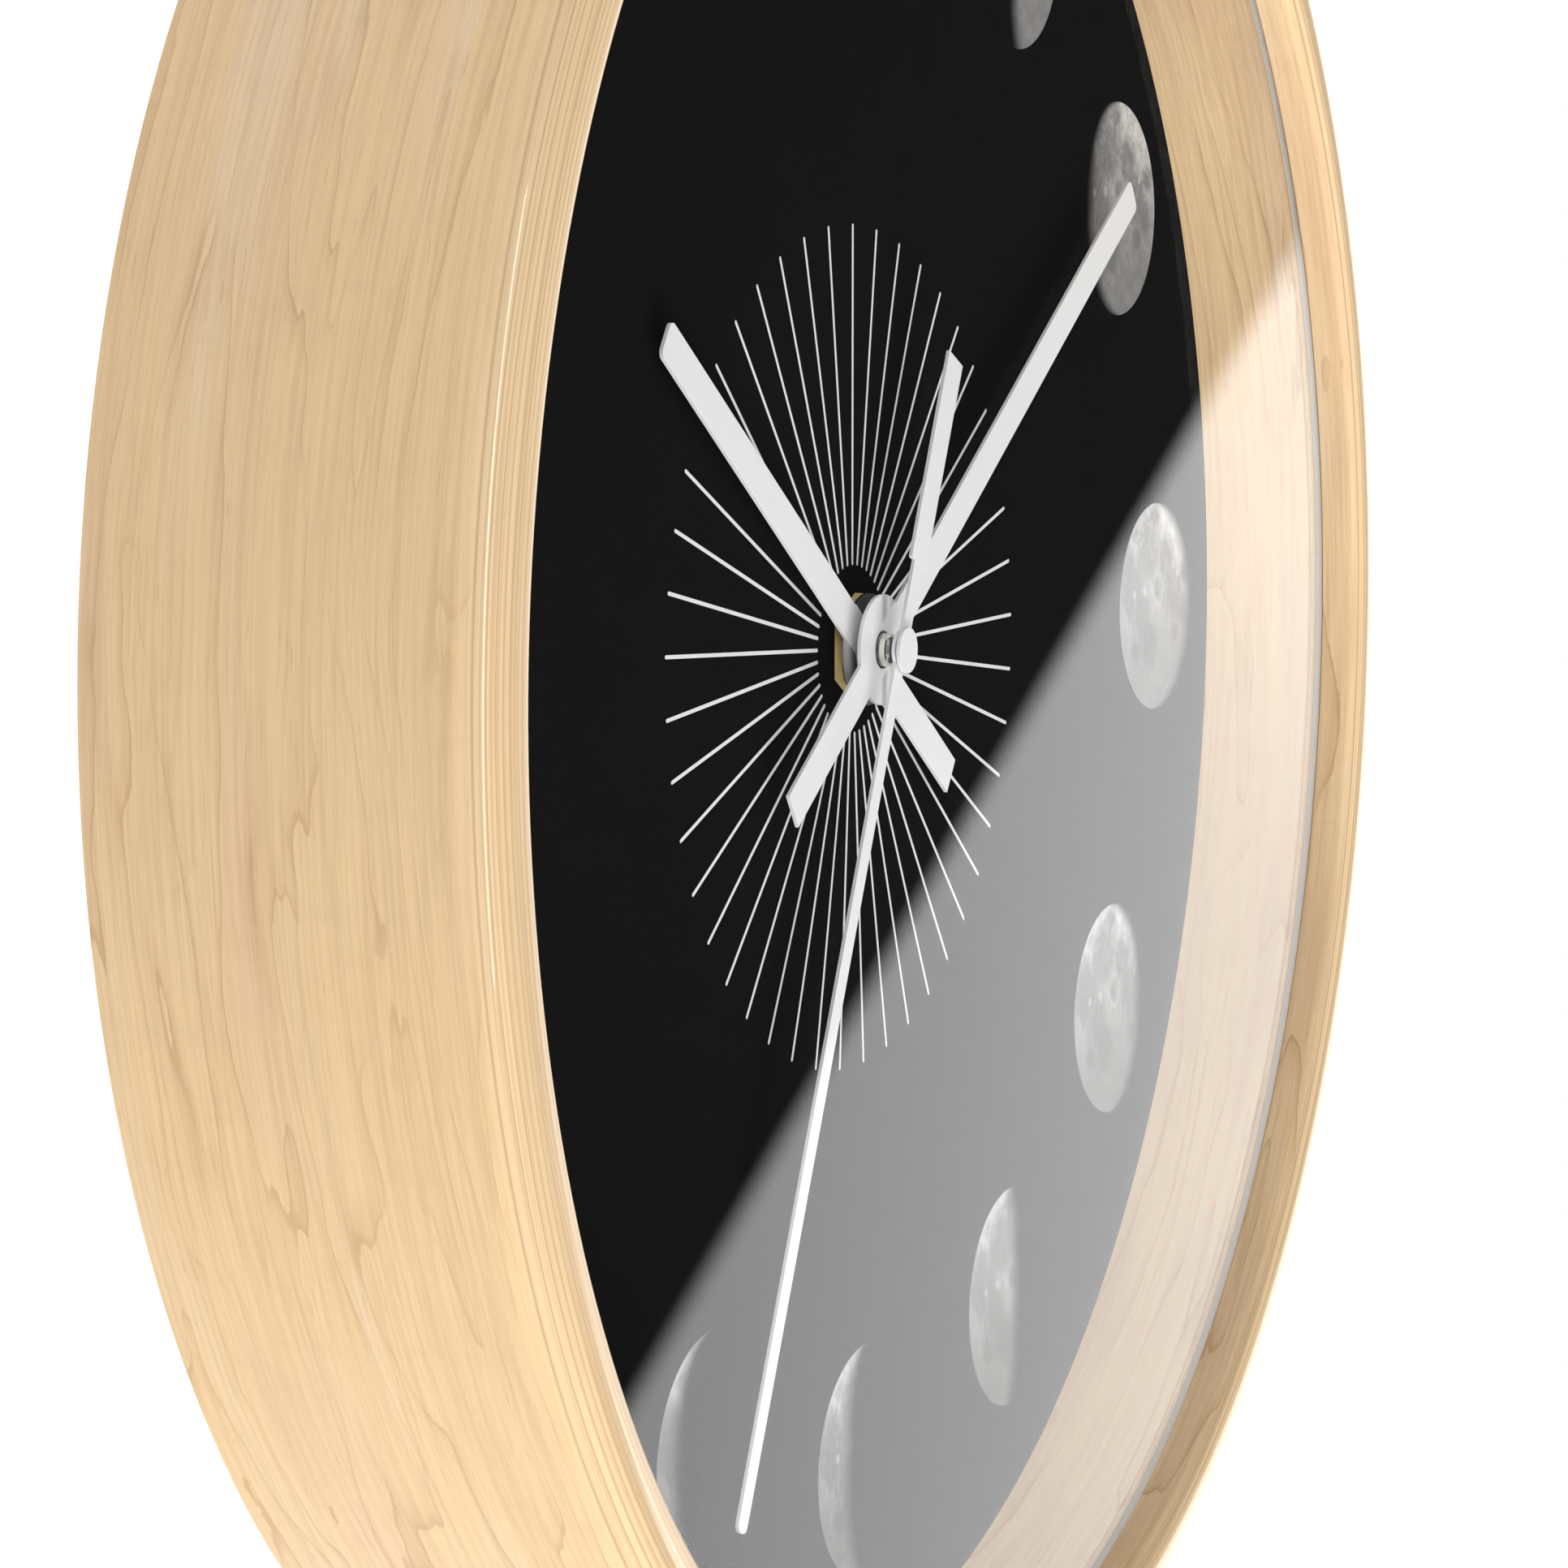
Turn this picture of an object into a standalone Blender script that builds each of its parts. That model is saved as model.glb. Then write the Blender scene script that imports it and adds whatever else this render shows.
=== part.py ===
"""Moon phase wall clock: a bent-ply ring with a printed dial, three hands and a quartz movement.

Lengths are in metres. Every piece hangs from one empty on the clock's axis, whose local X points
right, local Y up and local Z from the wall towards the viewer, so a height is a distance from the
wall. In world space the wall is the plane y = 0, the clock faces -Y, and the origin is the point
of the wall under the hanger's bearing edge.
"""

import math

import bmesh
import bpy
from mathutils import Matrix, Vector

MM = 0.001

# Clearances. A seat is the gap between two pieces that touch, a running gap is round a shaft.
SEAT = 0.3 * MM
RUNNING = 0.2 * MM
MERGE = 1e-6
OVERLAP = 0.2 * MM

# Facets round a circle
RING_STEPS = 64
HUB_STEPS = 24
PIPE_STEPS = 18
PIN_STEPS = 10

# Ring: bent ply, with a rebate for the dial behind and a groove for the cover in front
RING_RADIUS = 127.0 * MM
RING_WALL = 8.25 * MM
RING_DEPTH = 43.1 * MM
OUTER_ROUNDING = 4.3 * MM
INNER_ROUNDING = 2.1 * MM
BACK_CHAMFER = 0.5 * MM
REBATE_CUT = 2.85 * MM
ROUNDING_FACETS = 4
INNER_FACETS = 3
INNER_RADIUS = RING_RADIUS - RING_WALL
REBATE_RADIUS = INNER_RADIUS + REBATE_CUT

# Clear cover, sprung into its groove
COVER_SETBACK = 5.8 * MM
COVER_THICKNESS = 1.0 * MM
GROOVE_CUT = 1.0 * MM
COVER_PLAY = 0.35 * MM
COVER_BACK = RING_DEPTH - COVER_SETBACK - COVER_THICKNESS
COVER_RADIUS = INNER_RADIUS + GROOVE_CUT - COVER_PLAY

# Movement's outside, and the fixing in front of it: a threaded stem, a soft washer behind the dial
# and a hex nut in front
CASE_BACK = 1.5 * MM
CASE_DEPTH = 14.9 * MM
CASE_WALL = 1.2 * MM
WASHER_THICKNESS = 0.6 * MM
WASHER_RADIUS = 9.0 * MM
STEM_RADIUS = 4.0 * MM
FLANGE_RADIUS = 6.0 * MM
FLANGE_THICKNESS = 0.6 * MM
NUT_FLATS = 11.0 * MM
NUT_THICKNESS = 1.0 * MM
STEM_HOLE = STEM_RADIUS + SEAT
CASE_FRONT = CASE_BACK + CASE_DEPTH
ROOM_FLOOR = CASE_FRONT - CASE_WALL
WASHER_BACK = CASE_FRONT + SEAT
WASHER_FRONT = WASHER_BACK + WASHER_THICKNESS

# Dial: a print on a hardboard disc, held against the ring's shoulder by a hoop
PRINT_THICKNESS = 0.4 * MM
BOARD_THICKNESS = 2.4 * MM
BOARD_PLAY = 0.4 * MM
HOOP_WALL = 2.7 * MM
HOOP_LENGTH = 6.0 * MM
DIAL_RADIUS = REBATE_RADIUS - BOARD_PLAY
BOARD_BACK = WASHER_FRONT + SEAT
BOARD_FRONT = BOARD_BACK + BOARD_THICKNESS
PRINT_BACK = BOARD_FRONT + SEAT
DIAL_HEIGHT = PRINT_BACK + PRINT_THICKNESS
SHOULDER_HEIGHT = DIAL_HEIGHT + SEAT
HOOP_FRONT = BOARD_BACK - SEAT
HOOP_RADIUS = REBATE_RADIUS - SEAT
NUT_BACK = DIAL_HEIGHT + SEAT
NUT_FRONT = NUT_BACK + NUT_THICKNESS

# Battery and its contacts
CELL_LENGTH = 50.5 * MM
CELL_RADIUS = 7.25 * MM
CELL_PLAY = 0.3 * MM
CELL_EDGE = 0.6 * MM
NUB_RADIUS = 2.75 * MM
NUB_LENGTH = 1.4 * MM
BAY_FLOOR = 0.8 * MM
CONTACT_THICKNESS = 0.4 * MM
CONTACT_WIDTH = 4.0 * MM
CONTACT_FOOT = 1.3 * MM
SPRING_SWELL = 1.1 * MM
SPRING_HALF_SPAN = 4.25 * MM
CELL_HEIGHT = CASE_FRONT - BAY_FLOOR - CELL_PLAY - CELL_RADIUS
CONTACT_BACK = CELL_HEIGHT - 1.55 * MM
CONTACT_FRONT = CONTACT_BACK + CONTACT_WIDTH

# Movement case: the gear room above, the battery bay below. The cell and its contacts set the
# width, and the case is square.
LID_THICKNESS = 1.2 * MM
HALF_ROOM = (CELL_LENGTH + SPRING_SWELL) / 2 + CONTACT_THICKNESS + 2 * SEAT
HALF_CASE = HALF_ROOM + CASE_WALL
BAY_LOW = -HALF_ROOM
BAY_HIGH = BAY_LOW + 2 * (CELL_RADIUS + CELL_PLAY)
ROOM_LOW = BAY_HIGH + CASE_WALL
LID_INNER = CASE_BACK + LID_THICKNESS
WALL_TOP = LID_INNER + SEAT
CONTACT_X = HALF_ROOM - SEAT - CONTACT_THICKNESS / 2
NUB_END_X = SEAT + CONTACT_THICKNESS / 2 - CONTACT_X
CELL_Y = BAY_LOW + CELL_PLAY + CELL_RADIUS
TONGUE_Y = 12.0 * MM
TONGUE_WIDTH = 6.0 * MM
TONGUE_THICKNESS = 0.8 * MM
TONGUE_LENGTH = 2.8 * MM

# Hanger, moulded on the case: a keyhole whose narrow slot takes the nail
HANGER_WIDTH = 16.0 * MM
HANGER_THICKNESS = 2.0 * MM
NAIL_HEAD_RADIUS = 4.2 * MM
NAIL_SLOT_RADIUS = 2.3 * MM
HANGER_FOOT = 0.8 * MM
HANGER_LAND = 3.0 * MM
NAIL_HEAD_Y = HALF_CASE + HANGER_FOOT + NAIL_HEAD_RADIUS
NAIL_SLOT_Y = NAIL_HEAD_Y + NAIL_HEAD_RADIUS
BEARING_Y = NAIL_SLOT_Y + NAIL_SLOT_RADIUS

# Gear teeth, as shares of the module and of the pitch
ADDENDUM = 0.9
DEDENDUM = 1.15
WHEEL_TOOTH = (0.60, 0.22)
PINION_TOOTH = (0.55, 0.20)
ROTOR_TEETH, INTERMEDIATE_TEETH = 6, 36
INTERMEDIATE_PINION, SECOND_TEETH = 6, 30
SECOND_PINION, THIRD_TEETH = 6, 45
THIRD_PINION, CENTRE_TEETH = 6, 48
CANNON_TEETH, MOTION_TEETH = 8, 24
MOTION_PINION, HOUR_TEETH = 8, 32
SETTING_TEETH = 12

# Distances between arbors, and the directions in which they lie, in degrees from local X. The
# rotor's own place comes from the coil, and the intermediate wheel stands on the line to it.
THIRD_DISTANCE = 9.0 * MM
MOTION_DISTANCE = 7.2 * MM
INTERMEDIATE_SHARE = 0.504
THIRD_DIRECTION = 90.0
MOTION_DIRECTION = 0.0
SETTING_DIRECTION = 180.0

# Heights of the wheels, from the stem's flange back towards the lid
WHEEL_THICKNESS = 0.9 * MM
PINION_EXTRA = 0.1 * MM
LAYER_GAP = 0.6 * MM
PIPE_SHAKE = 0.4 * MM
INTERMEDIATE_RISE = 1.4 * MM
FLANGE_FRONT = ROOM_FLOOR - SEAT
FLANGE_BACK = FLANGE_FRONT - FLANGE_THICKNESS
HOUR_TOP = FLANGE_BACK - PIPE_SHAKE
MOTION_TOP = HOUR_TOP - WHEEL_THICKNESS - LAYER_GAP
CENTRE_TOP = MOTION_TOP - WHEEL_THICKNESS - LAYER_GAP + PINION_EXTRA
THIRD_TOP = CENTRE_TOP - WHEEL_THICKNESS - LAYER_GAP
SECOND_TOP = THIRD_TOP - WHEEL_THICKNESS - LAYER_GAP + PINION_EXTRA
INTERMEDIATE_TOP = LID_INNER + INTERMEDIATE_RISE
INTERMEDIATE_THICKNESS = 0.8 * MM

# Arbors, pipes and bearings
SECOND_ARBOR = 0.55 * MM
MINUTE_PIPE = 1.9 * MM
HOUR_PIPE_WALL = 0.55 * MM
CANNON_SLEEVE_WALL = 0.3 * MM
WHEEL_ARBOR = 0.5 * MM
ROTOR_ARBOR = 0.4 * MM
SETTING_ARBOR = 0.75 * MM
HUB_STEP = 0.1 * MM
INTERMEDIATE_HUB = 1.2 * MM
MOTION_HUB = 1.3 * MM
POST_RADIUS = 0.4 * MM
BOSS_WALL = 0.75 * MM
BOSS_GAP = 0.5 * MM
PIVOT_LENGTH = 0.7 * MM
LID_PIVOT_LENGTH = 0.5 * MM
MINUTE_BORE = SECOND_ARBOR + SEAT
CANNON_SLEEVE = MINUTE_BORE + CANNON_SLEEVE_WALL
HOUR_BORE = MINUTE_PIPE + SEAT
HOUR_PIPE = HOUR_BORE + HOUR_PIPE_WALL
STEM_BORE = HOUR_PIPE + SEAT
PIVOT_BACK = LID_INNER - LID_PIVOT_LENGTH

# Step motor: magnet, stator plate, core and coil
MAGNET_RADIUS = 2.8 * MM
MAGNET_THICKNESS = 1.6 * MM
MAGNET_BORE = 0.9 * MM
STATOR_BACK = 5.3 * MM
STATOR_THICKNESS = 1.0 * MM
STATOR_AIR_GAP = 0.5 * MM
STATOR_WEB_LEFT = 1.5 * MM
STATOR_WEB_RIGHT = 0.9 * MM
ARM_WIDTH = 3.0 * MM
CORE_HALF_WIDTH = 0.9 * MM
CORE_END_HALF_WIDTH = 2.0 * MM
BOBBIN_HALF_LENGTH = 6.0 * MM
BOBBIN_TUBE = 1.8 * MM
BOBBIN_FLANGE = 3.1 * MM
BOBBIN_FLANGE_THICKNESS = 0.6 * MM
BOBBIN_GAP = 0.4 * MM
WINDING_RADIUS = 2.9 * MM
ROTOR_RISE = 3.48 * MM
SCREW_SHANK = 0.65 * MM
SCREW_HEAD = 1.6 * MM
SCREW_HEAD_THICKNESS = 0.8 * MM
SCREW_LENGTH = 5.0 * MM
SCREW_HOLE = SCREW_SHANK + SEAT
SCREW_POST = SCREW_HOLE + 0.6 * MM
STATOR_FRONT = STATOR_BACK + STATOR_THICKNESS
CORE_BACK = STATOR_FRONT + SEAT
CORE_FRONT = CORE_BACK + STATOR_THICKNESS
MAGNET_BACK = STATOR_BACK - (MAGNET_THICKNESS - STATOR_THICKNESS) / 2
MAGNET_FRONT = MAGNET_BACK + MAGNET_THICKNESS
ROTOR_BOSS_END = MAGNET_FRONT + BOSS_GAP + SEAT
COIL_X = HALF_ROOM - BOBBIN_GAP - BOBBIN_FLANGE
ROTOR_HOLE = MAGNET_RADIUS + STATOR_AIR_GAP
STATOR_LEFT = ROTOR_HOLE + STATOR_WEB_LEFT
STATOR_RIGHT = ROTOR_HOLE + STATOR_WEB_RIGHT
ROTOR_X = COIL_X - BOBBIN_FLANGE - SEAT - STATOR_RIGHT
ARM_INNER = BOBBIN_HALF_LENGTH + BOBBIN_GAP
ARM_OUTER = ARM_INNER + ARM_WIDTH
SCREW_Y = ARM_INNER + ARM_WIDTH / 2

# Circuit board, beside the case's left wall, and what it carries
BOARD_EDGE_GAP = 1.1 * MM
BOARD_WIDTH = 7.9 * MM
BOARD_LOW_GAP = 3.5 * MM
BOARD_HIGH_GAP = 3.8 * MM
CIRCUIT_BACK = 7.0 * MM
CIRCUIT_THICKNESS = 1.0 * MM
CIRCUIT_POST_INSET = 3.0 * MM
CIRCUIT_POST_RADIUS = 1.8 * MM
CIRCUIT_PIN_RADIUS = 0.7 * MM
CRYSTAL_RADIUS = 1.0 * MM
CRYSTAL_LENGTH = 6.0 * MM
CHIP_RADIUS = 2.6 * MM
CHIP_HEIGHT = 1.2 * MM
BOARD_LEFT = BOARD_EDGE_GAP - HALF_ROOM
BOARD_RIGHT = BOARD_LEFT + BOARD_WIDTH
BOARD_LOW = ROOM_LOW + BOARD_LOW_GAP
BOARD_HIGH = HALF_ROOM - BOARD_HIGH_GAP
CIRCUIT_POST_X = BOARD_LEFT + 3.7 * MM
CIRCUIT_POST_YS = (BOARD_LOW + CIRCUIT_POST_INSET, BOARD_HIGH - CIRCUIT_POST_INSET)
CRYSTAL_X = BOARD_LEFT + 1.7 * MM
CRYSTAL_Y = BOARD_HIGH - 12.0 * MM
CHIP_X = BOARD_RIGHT - 3.2 * MM
CHIP_Y = BOARD_LOW + 10.0 * MM

# Hand-setting knob on the back, in a well in the lid
KNOB_RADIUS = 5.6 * MM
KNOB_THICKNESS = 2.4 * MM
KNOB_LOBES = 24
KNOB_LOBE_DEPTH = 0.25 * MM
WELL_GAP = 0.5 * MM
WELL_WALL = 0.8 * MM
WELL_DEPTH = 2.4 * MM

# Hands. Each height is that of a front face, and each hand stands clear of the one behind it.
HAND_THICKNESS = 0.4 * MM
HAND_WIDTH = 4.4 * MM
HAND_TAIL = 29.2 * MM
HAND_ROUNDING = 0.9 * MM
HOUR_LENGTH = 62.3 * MM
HOUR_HUB = 6.38 * MM
HOUR_ANGLE = 304.04
HOUR_LIFT = 0.4 * MM
MINUTE_LENGTH = 96.4 * MM
MINUTE_HUB = 6.3 * MM
MINUTE_ANGLE = 55.87
SECOND_LENGTH = 101.3 * MM
SECOND_WIDTH = 2.35 * MM
SECOND_HUB = 2.3 * MM
SECOND_TAIL = 36.3 * MM
SECOND_TAIL_START = 10.6 * MM
SECOND_TAIL_WIDTH = 4.3 * MM
SECOND_ANGLE = 204.95
COLLET_RADIUS = 3.85 * MM
COLLET_NECK_WALL = 0.4 * MM
COLLET_HEIGHT = 1.05 * MM
HOUR_PIPE_STANDOUT = 0.5 * MM
MINUTE_COLLET_LENGTH = 0.65 * MM
MINUTE_COLLET_WALL = 0.35 * MM
SECOND_TUBE_RADIUS = 1.15 * MM
SECOND_TUBE_LENGTH = 0.5 * MM
CAP_RADIUS = 2.6 * MM
CAP_THICKNESS = 0.4 * MM
HOUR_HEIGHT = NUT_FRONT + HOUR_LIFT + HAND_THICKNESS
HOUR_PIPE_END = HOUR_HEIGHT + HOUR_PIPE_STANDOUT
COLLET_BORE = HOUR_PIPE + SEAT
COLLET_NECK = COLLET_BORE + COLLET_NECK_WALL
COLLET_FRONT = HOUR_HEIGHT + COLLET_HEIGHT
MINUTE_HEIGHT = COLLET_FRONT + SEAT + HAND_THICKNESS
MINUTE_COLLET_BACK = MINUTE_HEIGHT + SEAT
MINUTE_COLLET_FRONT = MINUTE_COLLET_BACK + MINUTE_COLLET_LENGTH
SECOND_TUBE_BACK = MINUTE_COLLET_FRONT + SEAT
SECOND_TUBE_FRONT = SECOND_TUBE_BACK + SECOND_TUBE_LENGTH
SECOND_HEIGHT = SECOND_TUBE_FRONT + SEAT + HAND_THICKNESS

for leftover in list(bpy.data.objects):
    bpy.data.objects.remove(leftover)

parts = bpy.data.collections.new("moon_phase_wall_clock")
bpy.context.scene.collection.children.link(parts)

clock_axis = bpy.data.objects.new("clock_axis", None)
clock_axis.location = (0.0, 0.0, -BEARING_Y)
clock_axis.rotation_euler = (math.radians(90.0), 0.0, 0.0)
parts.objects.link(clock_axis)


# Materials
def material(name, colour, roughness, metallic=0.0, alpha=1.0):
    finish = bpy.data.materials.new(name)
    finish.use_nodes = True
    shader = finish.node_tree.nodes["Principled BSDF"]
    shader.inputs["Base Color"].default_value = (*colour, 1.0)
    shader.inputs["Roughness"].default_value = roughness
    shader.inputs["Metallic"].default_value = metallic
    shader.inputs["Alpha"].default_value = alpha
    return finish


MAPLE = material("maple_ply", (0.76, 0.54, 0.31), 0.45)
ACRYLIC = material("clear_acrylic", (0.95, 0.97, 0.97), 0.03, alpha=0.15)
PRINT = material("black_print", (0.008, 0.008, 0.008), 0.5)
HARDBOARD = material("hardboard", (0.17, 0.10, 0.06), 0.8)
RUBBER = material("black_rubber", (0.02, 0.02, 0.02), 0.85)
BRASS = material("brass", (0.60, 0.43, 0.15), 0.3, 1.0)
BLACK_PLASTIC = material("black_plastic", (0.02, 0.02, 0.022), 0.5)
GEAR_PLASTIC = material("natural_acetal", (0.80, 0.79, 0.74), 0.4)
WHITE_PAINT = material("white_paint", (0.78, 0.78, 0.78), 0.35)
CHROME = material("chrome", (0.75, 0.75, 0.73), 0.08, 1.0)
STEEL = material("steel", (0.45, 0.45, 0.46), 0.3, 1.0)
MAGNET = material("sintered_magnet", (0.09, 0.09, 0.10), 0.45, 0.8)
COPPER = material("enamelled_copper", (0.55, 0.20, 0.08), 0.35, 1.0)
NICKEL = material("nickelled_steel", (0.62, 0.60, 0.56), 0.25, 1.0)
CIRCUIT_GREEN = material("circuit_laminate", (0.02, 0.15, 0.06), 0.5)
EPOXY = material("black_epoxy", (0.01, 0.01, 0.01), 0.3)
CELL_SLEEVE = material("cell_sleeve", (0.05, 0.06, 0.07), 0.3)


# Shapes. Each returns a mesh in the local frame of the piece that takes it.
def evaluated(helper):
    """The helper's mesh with its modifiers applied. The helper goes."""
    bpy.context.view_layer.update()
    graph = bpy.context.evaluated_depsgraph_get()
    mesh = bpy.data.meshes.new_from_object(helper.evaluated_get(graph))
    bpy.data.objects.remove(helper)
    return mesh


def helper_object(data):
    helper = bpy.data.objects.new(data.name, data)
    helper.hide_render = True
    bpy.context.scene.collection.objects.link(helper)
    return helper


def turned(profile, steps=HUB_STEPS):
    """Turned about local Z from (radius, height) points that run down the outside, top to bottom.

    A profile that starts and ends on the axis is solid, and any other is closed into a ring.
    """
    points = [(radius, 0.0, height) for radius, height in profile]
    edges = [(i, i + 1) for i in range(len(points) - 1)]
    if profile[0][0] > 0.0:
        edges.append((len(points) - 1, 0))
    mesh = bpy.data.meshes.new("turned")
    mesh.from_pydata(points, edges, [])
    lathe = helper_object(mesh)
    screw = lathe.modifiers.new("Screw", "SCREW")
    screw.axis = "Z"
    screw.angle = math.tau
    screw.steps = steps
    screw.render_steps = steps
    screw.use_merge_vertices = True
    screw.merge_threshold = MERGE
    return evaluated(lathe)


def tube(radius, bore, low, high, steps=PIPE_STEPS):
    return turned([(radius, high), (radius, low), (bore, low), (bore, high)], steps)


def rod(radius, low, high, steps=PIN_STEPS, centre=(0.0, 0.0)):
    mesh = bpy.data.meshes.new("rod")
    shape = bmesh.new()
    middle = Matrix.Translation((*centre, (low + high) / 2))
    bmesh.ops.create_cone(
        shape, cap_ends=True, segments=steps, radius1=radius, radius2=radius,
        depth=high - low, matrix=middle,
    )
    shape.to_mesh(mesh)
    shape.free()
    return mesh


def block(left, right, bottom, top, low, high):
    mesh = bpy.data.meshes.new("block")
    shape = bmesh.new()
    size = Matrix.Diagonal((right - left, top - bottom, high - low, 1.0))
    middle = Matrix.Translation(((left + right) / 2, (bottom + top) / 2, (low + high) / 2))
    bmesh.ops.create_cube(shape, size=1.0, matrix=middle @ size)
    shape.to_mesh(mesh)
    shape.free()
    return mesh


def plate(outline, low, high, holes=()):
    """A flat piece between two heights, cut from (x, y) outlines."""
    curve = bpy.data.curves.new("plate", "CURVE")
    curve.dimensions = "2D"
    curve.fill_mode = "BOTH"
    curve.extrude = (high - low) / 2
    for loop in (outline, *holes):
        spline = curve.splines.new("POLY")
        spline.points.add(len(loop) - 1)
        for point, (x, y) in zip(spline.points, loop):
            point.co = (x, y, 0.0, 1.0)
        spline.use_cyclic_u = True
    mesh = evaluated(helper_object(curve))
    shape = bmesh.new()
    shape.from_mesh(mesh)
    bmesh.ops.remove_doubles(shape, verts=shape.verts, dist=MERGE)
    bmesh.ops.translate(shape, verts=shape.verts, vec=(0.0, 0.0, (low + high) / 2))
    shape.to_mesh(mesh)
    shape.free()
    return mesh


def strip(path, thickness, low, high):
    """A sheet-metal strip bent along an (x, y) path, standing between two heights."""
    mesh = bpy.data.meshes.new("strip")
    shape = bmesh.new()
    verts = [shape.verts.new((x, y, low)) for x, y in path]
    edges = [shape.edges.new(pair) for pair in zip(verts, verts[1:])]
    raised = bmesh.ops.extrude_edge_only(shape, edges=edges)["geom"]
    top = [item for item in raised if isinstance(item, bmesh.types.BMVert)]
    bmesh.ops.translate(shape, verts=top, vec=(0.0, 0.0, high - low))
    bmesh.ops.recalc_face_normals(shape, faces=shape.faces)
    shape.to_mesh(mesh)
    shape.free()
    sheet = helper_object(mesh)
    solidify = sheet.modifiers.new("Solidify", "SOLIDIFY")
    solidify.thickness = thickness
    solidify.offset = 0.0
    solidify.use_even_offset = True
    return evaluated(sheet)


def combined(operation, base, *others):
    """The base with the others joined to it or cut from it."""
    helper = helper_object(base)
    tools = [helper_object(other) for other in others]
    for tool in tools:
        boolean = helper.modifiers.new(operation, "BOOLEAN")
        boolean.operation = operation
        boolean.solver = "EXACT"
        boolean.object = tool
    mesh = evaluated(helper)
    for tool in tools:
        bpy.data.objects.remove(tool)
    return mesh


def joined(base, *others):
    return combined("UNION", base, *others)


def cut(base, *others):
    return combined("DIFFERENCE", base, *others)


def circle(radius, steps, centre=(0.0, 0.0)):
    turns = [math.tau * k / steps for k in range(steps)]
    return [(centre[0] + radius * math.cos(t), centre[1] + radius * math.sin(t)) for t in turns]


def arc(centre_x, centre_y, radius, start, end, facets):
    """Points on an arc between two angles in degrees."""
    angles = [math.radians(start + (end - start) * k / facets) for k in range(facets + 1)]
    return [(centre_x + radius * math.cos(a), centre_y + radius * math.sin(a)) for a in angles]


def piece(name, mesh, finish, axis=(0.0, 0.0), turn=0.0):
    """Places a mesh as one piece of the clock, its origin on the arbor at axis."""
    mesh.name = name
    mesh.materials.clear()
    mesh.materials.append(finish)
    mesh.shade_smooth()
    mesh.set_sharp_from_angle(angle=math.radians(35.0))
    placed = bpy.data.objects.new(name, mesh)
    placed.parent = clock_axis
    placed.location = (*axis, 0.0)
    placed.rotation_euler.z = turn
    parts.objects.link(placed)
    return placed


# Gear geometry
def toothed(teeth, module, tooth_angle, tooth):
    """The outline of a toothed rim with the middle of one tooth at tooth_angle."""
    pitch_radius = teeth * module / 2
    root = pitch_radius - DEDENDUM * module
    tip = pitch_radius + ADDENDUM * module
    pitch = math.tau / teeth
    root_share, tip_share = tooth
    corners = ((root, -root_share), (tip, -tip_share), (tip, tip_share), (root, root_share))
    points = []
    for k in range(teeth):
        for radius, share in corners:
            angle = tooth_angle + (k + share / 2) * pitch
            points.append((radius * math.cos(angle), radius * math.sin(angle)))
    return points


def root_radius(teeth, module):
    return teeth * module / 2 - DEDENDUM * module


def polar(distance, degrees):
    angle = math.radians(degrees)
    return Vector((distance * math.cos(angle), distance * math.sin(angle)))


def meshing(teeth, degrees, driver_teeth, driver_angle=0.0):
    """The tooth angle of a gear that lies in a direction from the gear that it meshes with."""
    line = math.radians(degrees)
    ahead = (driver_angle - line) * driver_teeth / math.tau
    return line + math.pi + (0.5 - ahead) * math.tau / teeth


ROTOR_AXIS = Vector((ROTOR_X, ROTOR_RISE))
ROTOR_DIRECTION = math.degrees(math.atan2(ROTOR_RISE, ROTOR_X))
INTERMEDIATE_AXIS = ROTOR_AXIS * INTERMEDIATE_SHARE
INTERMEDIATE_DISTANCE = INTERMEDIATE_AXIS.length
ROTOR_DISTANCE = (ROTOR_AXIS - INTERMEDIATE_AXIS).length

THIRD_MODULE = 2 * THIRD_DISTANCE / (SECOND_PINION + THIRD_TEETH)
CENTRE_MODULE = 2 * THIRD_DISTANCE / (THIRD_PINION + CENTRE_TEETH)
MOTION_MODULE = 2 * MOTION_DISTANCE / (CANNON_TEETH + MOTION_TEETH)
HOUR_MODULE = 2 * MOTION_DISTANCE / (MOTION_PINION + HOUR_TEETH)
SECOND_MODULE = 2 * INTERMEDIATE_DISTANCE / (INTERMEDIATE_PINION + SECOND_TEETH)
ROTOR_MODULE = 2 * ROTOR_DISTANCE / (ROTOR_TEETH + INTERMEDIATE_TEETH)
SETTING_DISTANCE = CENTRE_MODULE * (SETTING_TEETH + CENTRE_TEETH) / 2

THIRD_AXIS = polar(THIRD_DISTANCE, THIRD_DIRECTION)
MOTION_AXIS = polar(MOTION_DISTANCE, MOTION_DIRECTION)
SETTING_AXIS = polar(SETTING_DISTANCE, SETTING_DIRECTION)
THIRD_BOSS_END = CENTRE_TOP + PINION_EXTRA + BOSS_GAP


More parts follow.
